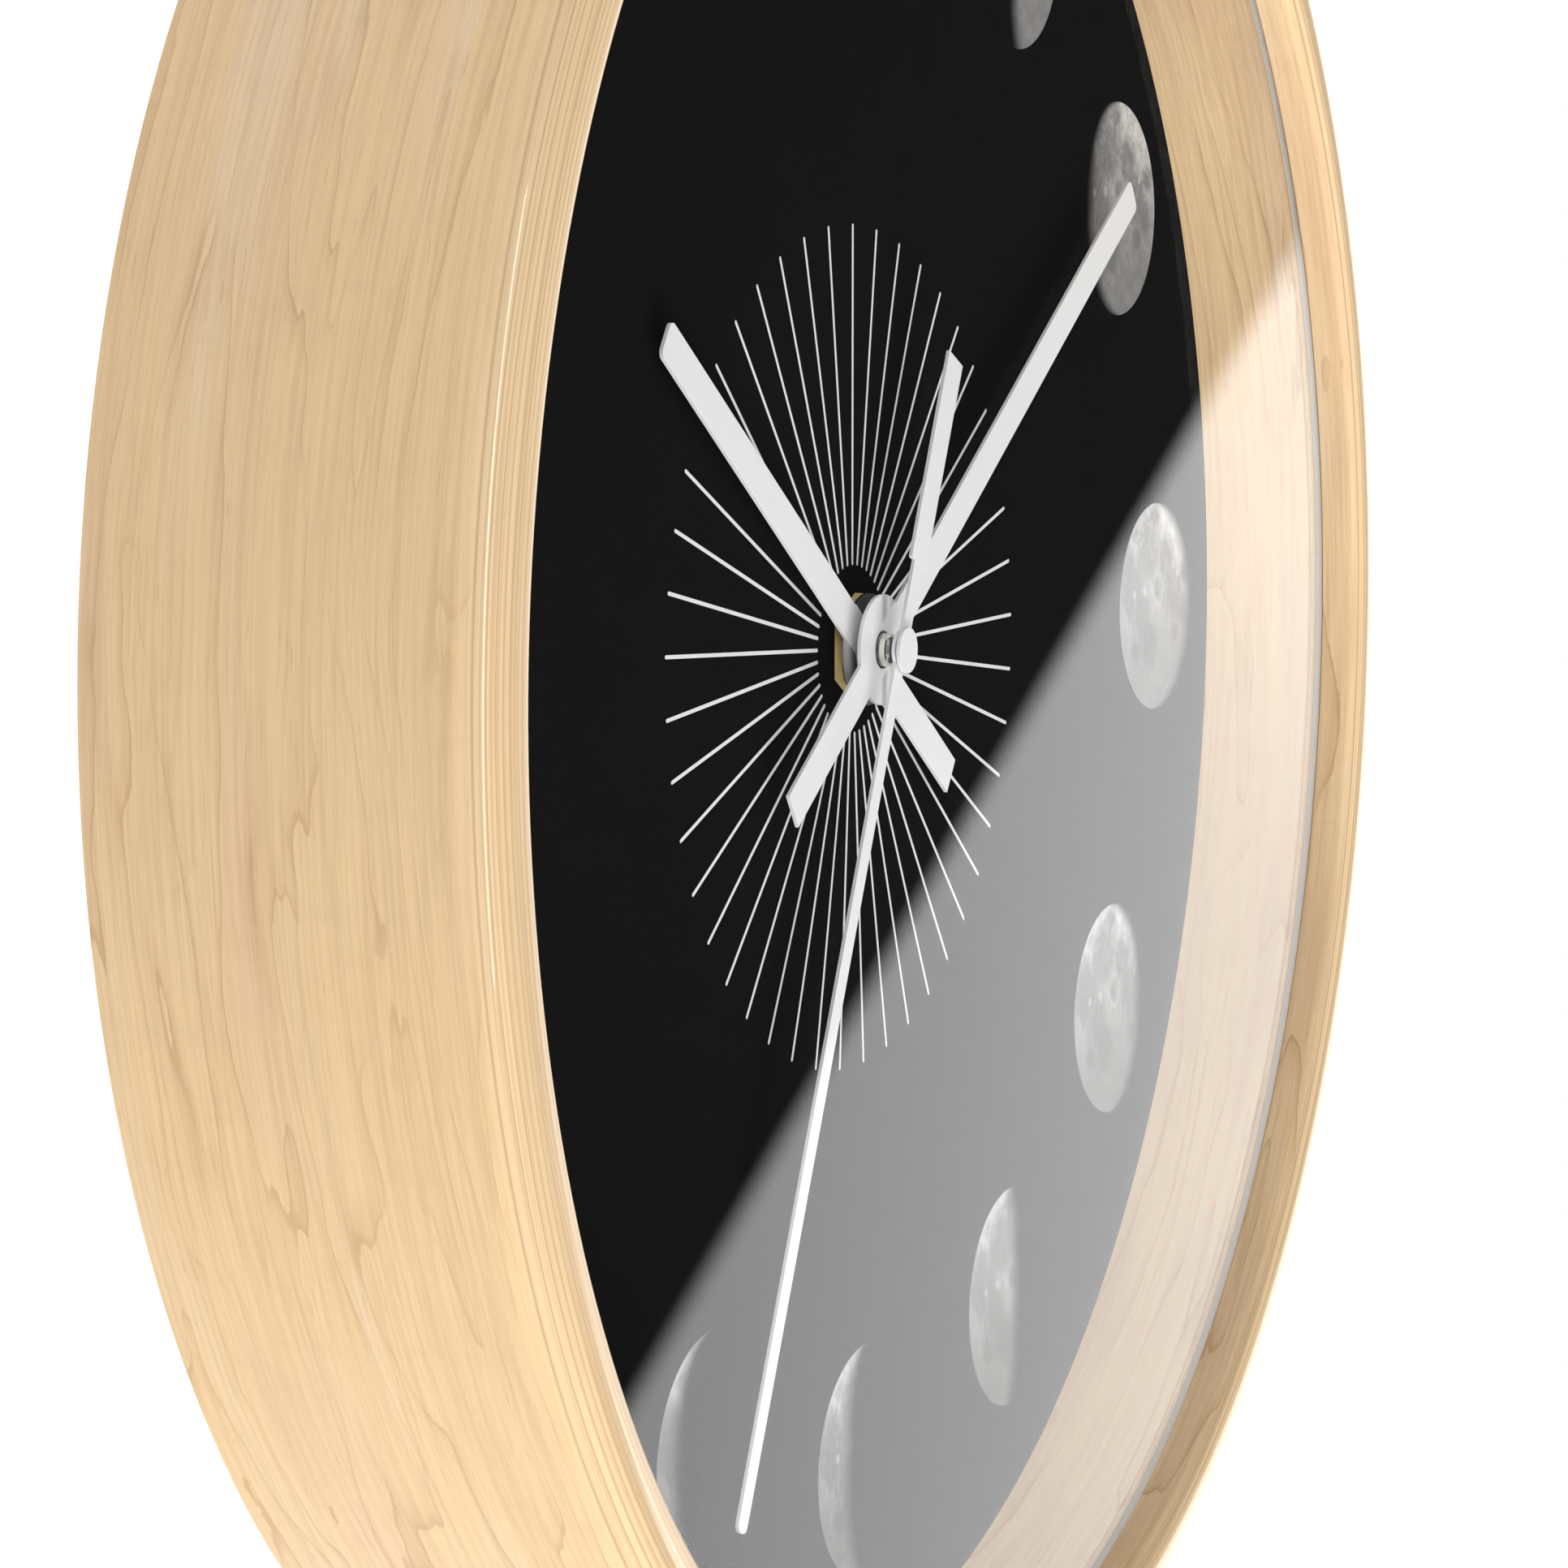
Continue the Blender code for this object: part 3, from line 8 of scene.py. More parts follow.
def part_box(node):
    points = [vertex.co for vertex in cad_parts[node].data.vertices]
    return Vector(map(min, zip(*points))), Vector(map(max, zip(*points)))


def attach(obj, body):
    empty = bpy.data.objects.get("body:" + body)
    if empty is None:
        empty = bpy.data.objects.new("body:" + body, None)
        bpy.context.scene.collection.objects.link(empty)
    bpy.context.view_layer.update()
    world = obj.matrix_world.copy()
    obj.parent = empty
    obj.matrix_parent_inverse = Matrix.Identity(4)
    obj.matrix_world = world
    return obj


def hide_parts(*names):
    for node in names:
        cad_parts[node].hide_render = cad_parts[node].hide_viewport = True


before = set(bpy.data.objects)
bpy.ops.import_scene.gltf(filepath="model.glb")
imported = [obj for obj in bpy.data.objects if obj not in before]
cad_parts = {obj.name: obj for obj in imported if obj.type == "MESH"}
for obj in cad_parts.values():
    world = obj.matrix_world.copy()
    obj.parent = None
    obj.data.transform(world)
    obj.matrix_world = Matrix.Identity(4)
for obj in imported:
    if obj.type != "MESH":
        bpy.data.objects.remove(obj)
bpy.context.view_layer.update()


# Camera
# It stands close to the clock, far round to its left and a little above its middle, and looks
# across the dial, so that the ring's left side and the wall inside its right side both show.
CAMERA_PLACE = (-0.47721, -0.23317, -0.00868)
CAMERA_YAW = 1.1371
CAMERA_PITCH = -0.0883
FOCAL_LENGTH = 105.67

bpy.ops.object.select_all(action="DESELECT")
bpy.ops.object.camera_add(
    location=CAMERA_PLACE, rotation=(math.pi / 2 + CAMERA_PITCH, 0.0, -CAMERA_YAW)
)
camera = bpy.context.object
camera.data.lens = FOCAL_LENGTH
camera.data.sensor_width = 36.0
camera.data.clip_start = 0.01
bpy.context.scene.camera = camera
bpy.context.scene.view_settings.view_transform = "Standard"


# Studio
# A pale floor far below the clock, a wide lamp low in front, another high at the left, a tall
# narrow one for the lacquer's highlight, and white behind everything. Mirrors see a dark room in
# front, half lit at the left, with a bright screen at the right whose edge runs aslant.
FLOOR_HEIGHT = -1.3
FLOOR_HALF = 6.0
FLOOR_GRID = 12
FLOOR_COLOUR = (0.86, 0.86, 0.86, 1.0)
FLOOR_ROUGHNESS = 0.9
WHITE = (1.0, 1.0, 1.0, 1.0)
SCREEN_SIDE = (0.2904, 0.8200, -0.4933)
SCREEN_EDGE = (-0.0025, 0.0050)
SCREEN_END = (0.25, 0.5)
SCREEN_LIGHT = 3.3
ROOM_DARK = 0.02
ROOM_LIGHT = 0.45
ROOM_LIGHT_END = (-0.1, -0.5)
BACK_WALL = (-0.15, 0.1)
BACK_SHADE = 0.65
BACK_SHADE_END = (0.2, 0.6)
FILL_LIGHT = 0.67
FILL_SLOPE = 0.47
CLOCK_FRONT = (0.0, -0.03, -0.04)
WIDE_LAMP = (0.8, 0.8)
LOW_LAMP_PLACE = (-0.19, -0.57, -1.08)
LOW_LAMP_POWER = 15.5
SIDE_LAMP_PLACE = (-1.00, -0.57, 0.92)
SIDE_LAMP_POWER = 6.5
TALL_LAMP = (0.08, 1.5)
TALL_LAMP_PLACE = (-0.86, -1.05, 0.12)
TALL_LAMP_POWER = 4.0
RING_SIDE = (-0.12, -0.04, -0.02)


class Value:
    """One socket of a node tree. Its maths is written as Python expressions."""

    def __init__(self, nodes, socket):
        self.nodes = nodes
        self.socket = socket

    def maths(self, operation, *values):
        inputs = {place: value for place, value in enumerate(values)}
        return self.nodes.node("ShaderNodeMath", {"operation": operation}, inputs)

    def __add__(self, other):
        return self.maths("ADD", self, other)

    def __sub__(self, other):
        return self.maths("SUBTRACT", self, other)

    def __rsub__(self, other):
        return self.maths("SUBTRACT", other, self)

    def __mul__(self, other):
        return self.maths("MULTIPLY", self, other)

    def __truediv__(self, other):
        return self.maths("DIVIDE", self, other)

    def __pow__(self, other):
        return self.maths("POWER", self, other)

    __radd__ = __add__
    __rmul__ = __mul__

    def whole(self):
        return self.maths("FLOOR", self)

    def part(self):
        return self.maths("FRACT", self)

    def size(self):
        return self.maths("ABSOLUTE", self)

    def most(self, other):
        return self.maths("MAXIMUM", self, other)

    def folded(self):
        return self.maths("PINGPONG", self, 0.5)

    def root(self):
        return self.maths("SQRT", self.most(0.0))

    def over(self, low, high):
        """Rises smoothly from 0 at low to 1 at high, or falls where low is the higher."""
        sockets = {"Value": self, "From Min": low, "From Max": high}
        return self.nodes.node("ShaderNodeMapRange", {"interpolation_type": "SMOOTHSTEP"}, sockets)


class Nodes:
    """A node tree that is filled one node at a time."""

    def __init__(self, tree):
        self.tree = tree

    def feed(self, socket, value):
        if isinstance(value, Value):
            self.tree.links.new(value.socket, socket)
        else:
            socket.default_value = value

    def node(self, kind, settings, sockets, output=0):
        made = self.tree.nodes.new(kind)
        for name, setting in settings.items():
            setattr(made, name, setting)
        for name, value in sockets.items():
            self.feed(made.inputs[name], value)
        return Value(self, made.outputs[output])

    def mix(self, share, first, second):
        """Two colours mixed. The sockets 0, 6 and 7 are the factor and the colours."""
        sockets = {0: share, 6: first, 7: second}
        return self.node("ShaderNodeMix", {"data_type": "RGBA"}, sockets, 2)

    def axes(self, where):
        """The X, Y and Z of a vector."""
        split = self.node("ShaderNodeSeparateXYZ", {}, {0: where}).socket.node
        return [Value(self, socket) for socket in split.outputs]


def seen_straight(nodes):
    """1 for what the camera sees, also through clear pieces, and 0 for all other rays."""
    camera_ray = nodes.node("ShaderNodeLightPath", {}, {}, "Is Camera Ray")
    return camera_ray.most(nodes.node("ShaderNodeLightPath", {}, {}, "Is Transmission Ray"))


bpy.ops.mesh.primitive_grid_add(
    x_subdivisions=FLOOR_GRID, y_subdivisions=FLOOR_GRID, size=2 * FLOOR_HALF,
    location=(0.0, 0.0, 0.0),
)
floor = bpy.context.object
floor.name = "floor"
bpy.ops.object.mode_set(mode="EDIT")
bpy.ops.transform.translate(value=(0.0, 0.0, FLOOR_HEIGHT))
bpy.ops.object.mode_set(mode="OBJECT")
floor.visible_glossy = False

floor_material = bpy.data.materials.new("floor")
floor_material.use_nodes = True
floor_nodes = Nodes(floor_material.node_tree)
floor_shader = floor_material.node_tree.nodes["Principled BSDF"]
floor_shader.inputs["Base Color"].default_value = FLOOR_COLOUR
floor_shader.inputs["Roughness"].default_value = FLOOR_ROUGHNESS
white = floor_nodes.node("ShaderNodeEmission", {}, {"Color": WHITE})
lit = Value(floor_nodes, floor_shader.outputs[0])
blended = floor_nodes.node(
    "ShaderNodeMixShader", {}, {0: seen_straight(floor_nodes), 1: lit, 2: white}
)
floor_nodes.feed(floor_material.node_tree.nodes["Material Output"].inputs["Surface"], blended)
floor.data.materials.append(floor_material)

world = bpy.data.worlds.new("studio")
world.use_nodes = True
bpy.context.scene.world = world
sky = Nodes(world.node_tree)
direction = sky.node("ShaderNodeTexCoord", {}, {}, "Generated")
screen_side = sky.node(
    "ShaderNodeVectorMath", {"operation": "DOT_PRODUCT"}, {0: direction, 1: SCREEN_SIDE}, "Value"
)
aside, behind, height = sky.axes(direction)
screen = screen_side.over(*SCREEN_EDGE) * aside.over(*SCREEN_END) * (SCREEN_LIGHT - ROOM_DARK)
room = ROOM_DARK + screen + aside.over(*ROOM_LIGHT_END) * ROOM_LIGHT
back_wall = behind.over(*BACK_WALL) * (1.0 - aside.over(*BACK_SHADE_END) * BACK_SHADE)
mirrored = room + back_wall * (1.0 - room)
fill = FILL_LIGHT - height * FILL_SLOPE
fill_light, mirror_light, white_light = [
    sky.node("ShaderNodeBackground", {}, {"Color": WHITE, "Strength": strength})
    for strength in (fill, mirrored, 1.0)
]
glossy = sky.node("ShaderNodeLightPath", {}, {}, "Is Glossy Ray")
unseen = sky.node("ShaderNodeMixShader", {}, {0: glossy, 1: fill_light, 2: mirror_light})
whole_sky = sky.node(
    "ShaderNodeMixShader", {}, {0: seen_straight(sky), 1: unseen, 2: white_light}
)
sky.feed(world.node_tree.nodes["World Output"].inputs["Surface"], whole_sky)


def studio_lamp(name, place, target, size, power, in_mirrors):
    """A soft rectangular lamp at place, turned to target."""
    bpy.ops.object.light_add(type="AREA", location=place)
    lamp = bpy.context.object
    lamp.name = name
    lamp.data.shape = "RECTANGLE"
    lamp.data.size, lamp.data.size_y = size
    lamp.data.energy = power
    aim = Vector(target) - Vector(place)
    lamp.rotation_euler = aim.to_track_quat("-Z", "Y").to_euler()
    lamp.visible_glossy = in_mirrors


studio_lamp("tall lamp", TALL_LAMP_PLACE, RING_SIDE, TALL_LAMP, TALL_LAMP_POWER, True)
studio_lamp("low lamp", LOW_LAMP_PLACE, CLOCK_FRONT, WIDE_LAMP, LOW_LAMP_POWER, False)
studio_lamp("side lamp", SIDE_LAMP_PLACE, CLOCK_FRONT, WIDE_LAMP, SIDE_LAMP_POWER, False)


# Ring
# A deep hoop bent from twelve thin maple veneers, sanded to soft edges in front and lacquered. Its
# back is rebated for the dial, and a shallow groove near the front holds the clear cover. Mirrors
# leave the ring out, so that the cover shows only the studio.
MM = 0.001
SAME_PLACE = 1e-6
SMOOTH_ANGLE = math.radians(30.0)
RING_LOW, RING_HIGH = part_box("frame_ring")
AXIS_HEIGHT = (RING_LOW.z + RING_HIGH.z) / 2
RING_RADIUS = RING_HIGH.x
RING_DEPTH = -RING_LOW.y
INNER_RADIUS = 118.75 * MM
REBATE_RADIUS = 121.6 * MM
GROOVE_RADIUS = 119.75 * MM
SHOULDER = 21.0 * MM
GROOVE_BACK = 36.0 * MM
GROOVE_FRONT = 37.6 * MM
OUTER_ROUNDING = 4.3 * MM
OUTER_FACETS = 10
INNER_ROUNDING = 2.1 * MM
INNER_FACETS = 7
BACK_EDGE = 0.5 * MM
RING_STEPS = 256
VENEERS = 12
VENEER_INSIDE = 118.6 * MM
VENEER_THICKNESS = 8.6 * MM / VENEERS
MAPLE = (0.85, 0.60, 0.325, 1.0)
MAPLE_PALE = (0.87, 0.65, 0.42, 1.0)
MAPLE_ROSE = (0.82, 0.56, 0.34, 1.0)
MAPLE_INSIDE_PAINTED_PALER = (0.97, 0.70, 0.405, 1.0)
MAPLE_LINE = (0.54, 0.31, 0.14, 1.0)
MAPLE_GRAIN = (0.58, 0.385, 0.20, 1.0)
EDGE_PALE = (0.80, 0.60, 0.365, 1.0)
EDGE_DARK = (0.62, 0.43, 0.235, 1.0)
EDGE_GLUE = (0.47, 0.29, 0.14, 1.0)
GROWTH_PER_METRE = 150.0
RINGS_PER_METRE = 1050.0
ROSE_SHARE = 0.75
PALE_SHARE = 0.75
FINE_SHARE = 0.36
HAIR_SHARE = 0.34
FIGURE_SHARE = 0.22
RING_SHARE = 0.15
LATE_SHARE = 0.30
LINE_SHARE = 0.46
FLECK_SHARE = 0.38
LACQUER = 0.9
GRAIN_HEIGHT = 0.02 * MM


def chosen(test):
    """In edit mode, selects the vertices whose place passes the test, and nothing else."""
    shape = bmesh.from_edit_mesh(bpy.context.object.data)
    shape.select_mode = {"VERT"}
    for vertex in shape.verts:
        vertex.select = test(vertex.co)
    shape.select_flush_mode()
    bmesh.update_edit_mesh(bpy.context.object.data)


def turned(name, corners, roundings):
    """A piece turned about the clock's axis from (radius, distance from the wall) corners.

    Corners that start on the axis and end on it give a solid piece, and others a closed ring.
    Each rounding is a corner with its radius and its number of facets.
    """
    bpy.ops.object.select_all(action="DESELECT")
    bpy.ops.mesh.primitive_plane_add(size=MM, location=(0.0, 0.0, 0.0))
    made = bpy.context.object
    made.name = name
    bpy.ops.object.mode_set(mode="EDIT")
    bpy.ops.mesh.select_mode(type="VERT")
    bpy.ops.mesh.select_all(action="SELECT")
    bpy.ops.mesh.merge(type="CENTER")
    path = [Vector((radius, -depth, AXIS_HEIGHT)) for radius, depth in corners]
    if corners[0][0] > 0.0:
        path.append(path[0])
    bpy.ops.transform.translate(value=path[0])
    for start, end in zip(path, path[1:]):
        bpy.ops.mesh.extrude_region_move(TRANSFORM_OT_translate={"value": end - start})
    bpy.ops.mesh.select_all(action="SELECT")
    bpy.ops.mesh.remove_doubles(threshold=SAME_PLACE)
    for (radius, depth), rounding, facets in roundings:
        corner = Vector((radius, -depth, AXIS_HEIGHT))
        chosen(lambda place: (place - corner).length < SAME_PLACE)
        bpy.ops.mesh.bevel(offset=rounding, segments=facets, affect="VERTICES")
    bpy.ops.mesh.select_all(action="SELECT")
    bpy.ops.mesh.spin(
        steps=RING_STEPS, angle=math.tau, center=(0.0, 0.0, AXIS_HEIGHT), axis=(0.0, 1.0, 0.0)
    )
    bpy.ops.mesh.select_all(action="SELECT")
    bpy.ops.mesh.remove_doubles(threshold=SAME_PLACE)
    bpy.ops.mesh.normals_make_consistent(inside=False)
    bpy.ops.object.mode_set(mode="OBJECT")
    bpy.ops.object.shade_smooth_by_angle(angle=SMOOTH_ANGLE)
    return made


class Finish(Nodes):
    """One material. Its constants are set on the Principled shader's own sockets."""

    def __init__(self, name, **constants):
        self.material = bpy.data.materials.new(name)
        self.material.use_nodes = True
        super().__init__(self.material.node_tree)
        self.surface = self.tree.nodes["Principled BSDF"]
        for socket, value in constants.items():
            self.surface.inputs[socket.replace("_", " ")].default_value = value

    def place(self, scale=(1.0, 1.0, 1.0), move=(0.0, 0.0, 0.0)):
        """Object coordinates, moved and then scaled."""
        moved = self.node(
            "ShaderNodeVectorMath", {"operation": "ADD"},
            {0: self.node("ShaderNodeTexCoord", {}, {}, "Object"), 1: move},
        )
        return self.node("ShaderNodeVectorMath", {"operation": "MULTIPLY"}, {0: moved, 1: scale})

    def noise(self, where, scale, detail=2.0, roughness=0.5, distortion=0.0):
        sockets = {
            "Vector": where, "Scale": scale, "Detail": detail, "Roughness": roughness,
            "Distortion": distortion,
        }
        return self.node("ShaderNodeTexNoise", {}, sockets)

    def bump(self, height, distance):
        sockets = {"Height": height, "Distance": distance, "Strength": 1.0}
        self.paint("Normal", self.node("ShaderNodeBump", {}, sockets))

    def paint(self, socket, value):
        self.feed(self.surface.inputs[socket], value)


def about_axis(finish):
    """How far right of, behind and above the middle of the clock's back a point lies."""
    return finish.axes(finish.place(move=(0.0, 0.0, -AXIS_HEIGHT)))


def maple_finish(name, lacquer):
    """Bent maple veneer: growth lines run round the ring, and cut edges show the veneers."""
    maple = Finish(name, Coat_Roughness=0.07, Specular_IOR_Level=0.3)
    across, depth, up = about_axis(maple)
    radius = (across * across + up * up).root()

    def streaks(squeeze, move=(0.0, 0.0, 0.0), **look):
        """Noise squeezed along the depth. More than 1 draws it out round the ring."""
        return maple.noise(maple.place(scale=(1.0, squeeze, 1.0), move=move), **look)

    wander = streaks(6.6, (0.3, 0.0, 0.7), scale=12.5, detail=3.0, roughness=0.45, distortion=0.5)
    ripple = streaks(3.3, scale=95.0, detail=4.0, roughness=0.6)
    growth = (depth * GROWTH_PER_METRE + wander * 7.0 + ripple * 0.25).part()
    rings = (depth * RINGS_PER_METRE + wander * 12.0 + ripple * 1.2).part()
    strength = streaks(3.0, (1.0, 0.0, 2.0), scale=26.0, detail=3.0).over(0.36, 0.58)
    presence = streaks(8.0, (4.0, 0.0, 1.0), scale=17.0, detail=3.0).over(0.36, 0.60)
    ring_line = rings.over(0.5, 0.0) * rings.over(0.0, 0.1) * presence
    line = growth.over(0.09, 0.025) * growth.over(0.0, 0.02) * strength
    late = growth.over(0.36, 0.0) * growth.over(0.0, 0.02) * strength
    fine = streaks(40.0, scale=34.0, detail=5.0, roughness=0.62)
    hair = streaks(46.0, (0.0, 0.4, 0.0), scale=90.0, detail=4.0, roughness=0.7)
    rosy = streaks(6.0, (5.0, 1.0, 0.0), scale=14.0, detail=3.0)
    pale = streaks(14.0, (0.0, 2.0, 3.0), scale=9.0, detail=3.0)
    fleck = streaks(12.0, (2.0, 0.0, 5.0), scale=170.0, detail=2.0)
    figure = streaks(0.4, (3.0, 3.0, 0.0), scale=330.0, detail=3.0)

    # The inner face is painted paler than the outside. Its pinker tint is the wood's own, but its
    # extra lightness is painted light that makes up for the shade inside the ring.
    inside = (radius - INNER_RADIUS).over(1.2 * MM, 0.8 * MM)
    colour = maple.mix(inside, MAPLE, MAPLE_INSIDE_PAINTED_PALER)
    for share, tint in (
        (rosy.over(0.46, 0.64) * ROSE_SHARE, MAPLE_ROSE),
        (pale.over(0.50, 0.64) * PALE_SHARE, MAPLE_PALE),
        (fine.over(0.38, 0.70) * FINE_SHARE, MAPLE_GRAIN),
        (hair.over(0.48, 0.74) * HAIR_SHARE, MAPLE_GRAIN),
        (figure.over(0.5, 0.8) * fine * FIGURE_SHARE, MAPLE_GRAIN),
        (ring_line * RING_SHARE, MAPLE_LINE),
        (late * LATE_SHARE, MAPLE_LINE),
        (line * LINE_SHARE, MAPLE_LINE),
        (fleck.over(0.67, 0.78) * FLECK_SHARE, MAPLE_LINE),
    ):
        colour = maple.mix(share, colour, tint)

    layer = (radius - VENEER_INSIDE) / VENEER_THICKNESS
    tone = maple.node("ShaderNodeTexWhiteNoise", {"noise_dimensions": "1D"}, {"W": layer.whole()})
    inside_layer = layer.part()
    glue = (inside_layer - 0.5).size().over(0.34, 0.5)
    edge_grain = maple.noise(
        maple.node("ShaderNodeCombineXYZ", {}, {0: across * 9.0, 1: radius * 3400.0, 2: up * 9.0}),
        scale=1.0, detail=4.0, roughness=0.65,
    )
    edge_colour = maple.mix(tone * 0.45, EDGE_PALE, EDGE_DARK)
    edge_colour = maple.mix(edge_grain.over(0.45, 0.60) * 0.45, edge_colour, EDGE_GLUE)
    edge_colour = maple.mix(glue * 0.75, edge_colour, EDGE_GLUE)
    from_outside = (RING_RADIUS - radius).over(0.15 * MM, 0.5 * MM)
    from_inside = (radius - INNER_RADIUS).over(0.1 * MM, 0.5 * MM)
    cut_edge = from_outside * from_inside
    maple.paint("Base Color", maple.mix(cut_edge * 0.9, colour, edge_colour))
    maple.paint("Coat Weight", (radius - INNER_RADIUS).over(0.2 * MM, OUTER_ROUNDING) * lacquer)
    maple.paint("Roughness", 0.40 + fine * 0.14 + cut_edge * 0.05)
    maple.bump(fine * 0.6 + hair * 0.3 - glue * cut_edge * 0.5 - line * 0.3, GRAIN_HEIGHT)
    return maple.material


frame_ring = turned(
    "bent_maple_ring",
    [
        (RING_RADIUS, RING_DEPTH), (RING_RADIUS, BACK_EDGE), (RING_RADIUS - BACK_EDGE, 0.0),
        (REBATE_RADIUS + BACK_EDGE, 0.0), (REBATE_RADIUS, BACK_EDGE), (REBATE_RADIUS, SHOULDER),
        (INNER_RADIUS, SHOULDER), (INNER_RADIUS, GROOVE_BACK), (GROOVE_RADIUS, GROOVE_BACK),
        (GROOVE_RADIUS, GROOVE_FRONT), (INNER_RADIUS, GROOVE_FRONT), (INNER_RADIUS, RING_DEPTH),
    ],
    [
        ((RING_RADIUS, RING_DEPTH), OUTER_ROUNDING, OUTER_FACETS),
        ((INNER_RADIUS, RING_DEPTH), INNER_ROUNDING, INNER_FACETS),
    ],
)
frame_ring.visible_glossy = False
frame_ring.data.materials.append(maple_finish("lacquered maple", LACQUER))
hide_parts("frame_ring")
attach(frame_ring, "frame")


# Backing hoop
# A narrow hoop of the same bent ply, glued into the rebate behind the dial board to hold it
# against the ring's shoulder. It is left bare, as nothing of it shows from the front.
HOOP_LOW, HOOP_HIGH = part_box("backing_hoop")
HOOP_WALL = 2.7 * MM
HOOP_EASE = 0.3 * MM
HOOP_FACETS = 3

backing_hoop = turned(
    "backing_hoop_ply",
    [
        (HOOP_HIGH.x, -HOOP_LOW.y), (HOOP_HIGH.x, -HOOP_HIGH.y),
        (HOOP_HIGH.x - HOOP_WALL, -HOOP_HIGH.y), (HOOP_HIGH.x - HOOP_WALL, -HOOP_LOW.y),
    ],
    [
        ((HOOP_HIGH.x, -HOOP_HIGH.y), HOOP_EASE, HOOP_FACETS),
        ((HOOP_HIGH.x - HOOP_WALL, -HOOP_HIGH.y), HOOP_EASE, HOOP_FACETS),
    ],
)
backing_hoop.data.materials.append(maple_finish("bare maple", 0.0))
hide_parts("backing_hoop")
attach(backing_hoop, "frame")


# Clear cover
# A disc of clear acrylic, 1 mm thick, sprung into the groove. Its polished faces are a thin
# mirror that is strongest at a grazing look, and its sawn edge is slightly frosted.
COVER_LOW, COVER_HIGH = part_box("front_cover")
COVER_EASE = 0.12 * MM
COVER_FACETS = 1
ACRYLIC_CLEAR = (0.97, 0.97, 0.97, 1.0)
ACRYLIC_SAWN = (0.66, 0.65, 0.61, 1.0)
GLOSS_RISE = 5.0
GLOSS_GRAZING = 0.41
GLOSS_FACING = 0.015
GLOSS_ROUGHNESS = 0.003
SAWN_ALPHA = 0.72
SAWN_ROUGHNESS = 0.35

front_cover = turned(
    "clear_cover",
    [
        (0.0, -COVER_LOW.y), (COVER_HIGH.x, -COVER_LOW.y),
        (COVER_HIGH.x, -COVER_HIGH.y), (0.0, -COVER_HIGH.y),
    ],
    [
        ((COVER_HIGH.x, -COVER_LOW.y), COVER_EASE, COVER_FACETS),
        ((COVER_HIGH.x, -COVER_HIGH.y), COVER_EASE, COVER_FACETS),
    ],
)
acrylic = Finish("clear acrylic")
facing = acrylic.node("ShaderNodeLayerWeight", {}, {"Blend": 0.5}, "Facing")
gloss = facing ** GLOSS_RISE * GLOSS_GRAZING + GLOSS_FACING
normal = acrylic.axes(acrylic.node("ShaderNodeNewGeometry", {}, {}, "Normal"))
sawn = normal[1].size().over(0.9, 0.3)
acrylic.paint("Base Color", acrylic.mix(sawn, ACRYLIC_CLEAR, ACRYLIC_SAWN))
acrylic.paint("Metallic", 1.0 - sawn)
acrylic.paint("Alpha", gloss + sawn * SAWN_ALPHA)
acrylic.paint("Roughness", GLOSS_ROUGHNESS + sawn * SAWN_ROUGHNESS)
front_cover.data.materials.append(acrylic.material)
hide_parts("front_cover")
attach(front_cover, "frame")


# Dial
# A sheet printed in deep satin black, glued on a disc of brown hardboard. The print is smooth
# in front, and the board's back has the mesh that it was pressed on.
PRINT_BLACK = (0.0075, 0.0075, 0.0077, 1.0)
PRINT_CLOUD = (0.0095, 0.0095, 0.0097, 1.0)
BOARD_BROWN = (0.155, 0.088, 0.048, 1.0)
BOARD_DARK = (0.085, 0.047, 0.026, 1.0)
MESH_PER_METRE = 640.0
MESH_HEIGHT = 0.10 * MM


def finish_node(node, finish):
    """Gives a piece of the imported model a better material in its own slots."""
    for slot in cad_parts[node].material_slots:
        slot.material = finish.material


dial_print = Finish("dial print", Specular_IOR_Level=0.0)
tooth = dial_print.noise(dial_print.place(), scale=1900.0, detail=3.0, roughness=0.6)
cloud = dial_print.noise(dial_print.place(), scale=24.0, detail=2.0)
dial_print.paint(
    "Base Color", dial_print.mix(cloud.over(0.3, 0.7) * 0.25, PRINT_BLACK, PRINT_CLOUD)
)
dial_print.paint("Roughness", 0.58 + tooth * 0.1)
dial_print.bump(tooth, 0.004 * MM)
finish_node("dial_print", dial_print)

hardboard = Finish("hardboard", Specular_IOR_Level=0.25)
fibre = hardboard.noise(hardboard.place(), scale=620.0, detail=6.0, roughness=0.7, distortion=0.6)
patch = hardboard.noise(hardboard.place(), scale=60.0, detail=3.0)
across, _, up = hardboard.axes(
    hardboard.place(scale=(MESH_PER_METRE, 1.0, MESH_PER_METRE))
)
mesh_print = across.part().folded() * up.part().folded()
brown = hardboard.mix(fibre.over(0.35, 0.7), BOARD_BROWN, BOARD_DARK)
brown = hardboard.mix(patch.over(0.4, 0.8) * 0.35, brown, BOARD_DARK)
hardboard.paint("Base Color", brown)
hardboard.paint("Roughness", 0.72 + fibre * 0.18)
hardboard.bump(mesh_print * 2.0 + fibre * 0.5, MESH_HEIGHT)
finish_node("dial_board", hardboard)


# Printed rays
# Forty-five fine white lines fan out round the middle of the dial, 8 degrees apart. They are
# printed with the dial, so they stand only the thickness of the ink above it.
PRINT_FRONT = -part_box("dial_print")[0].y
INK = 0.03 * MM
SUNK = 0.05 * MM
RAYS = 45
RAY_INNER = 9.5 * MM
RAY_OUTER = 48.0 * MM
RAY_WIDTH = 0.42 * MM
RAY_ROUNDING = 0.49 * RAY_WIDTH
RAY_FACETS = 3
RAY_WHITE = (0.80, 0.80, 0.80, 1.0)
RAY_GREY = (0.60, 0.60, 0.60, 1.0)


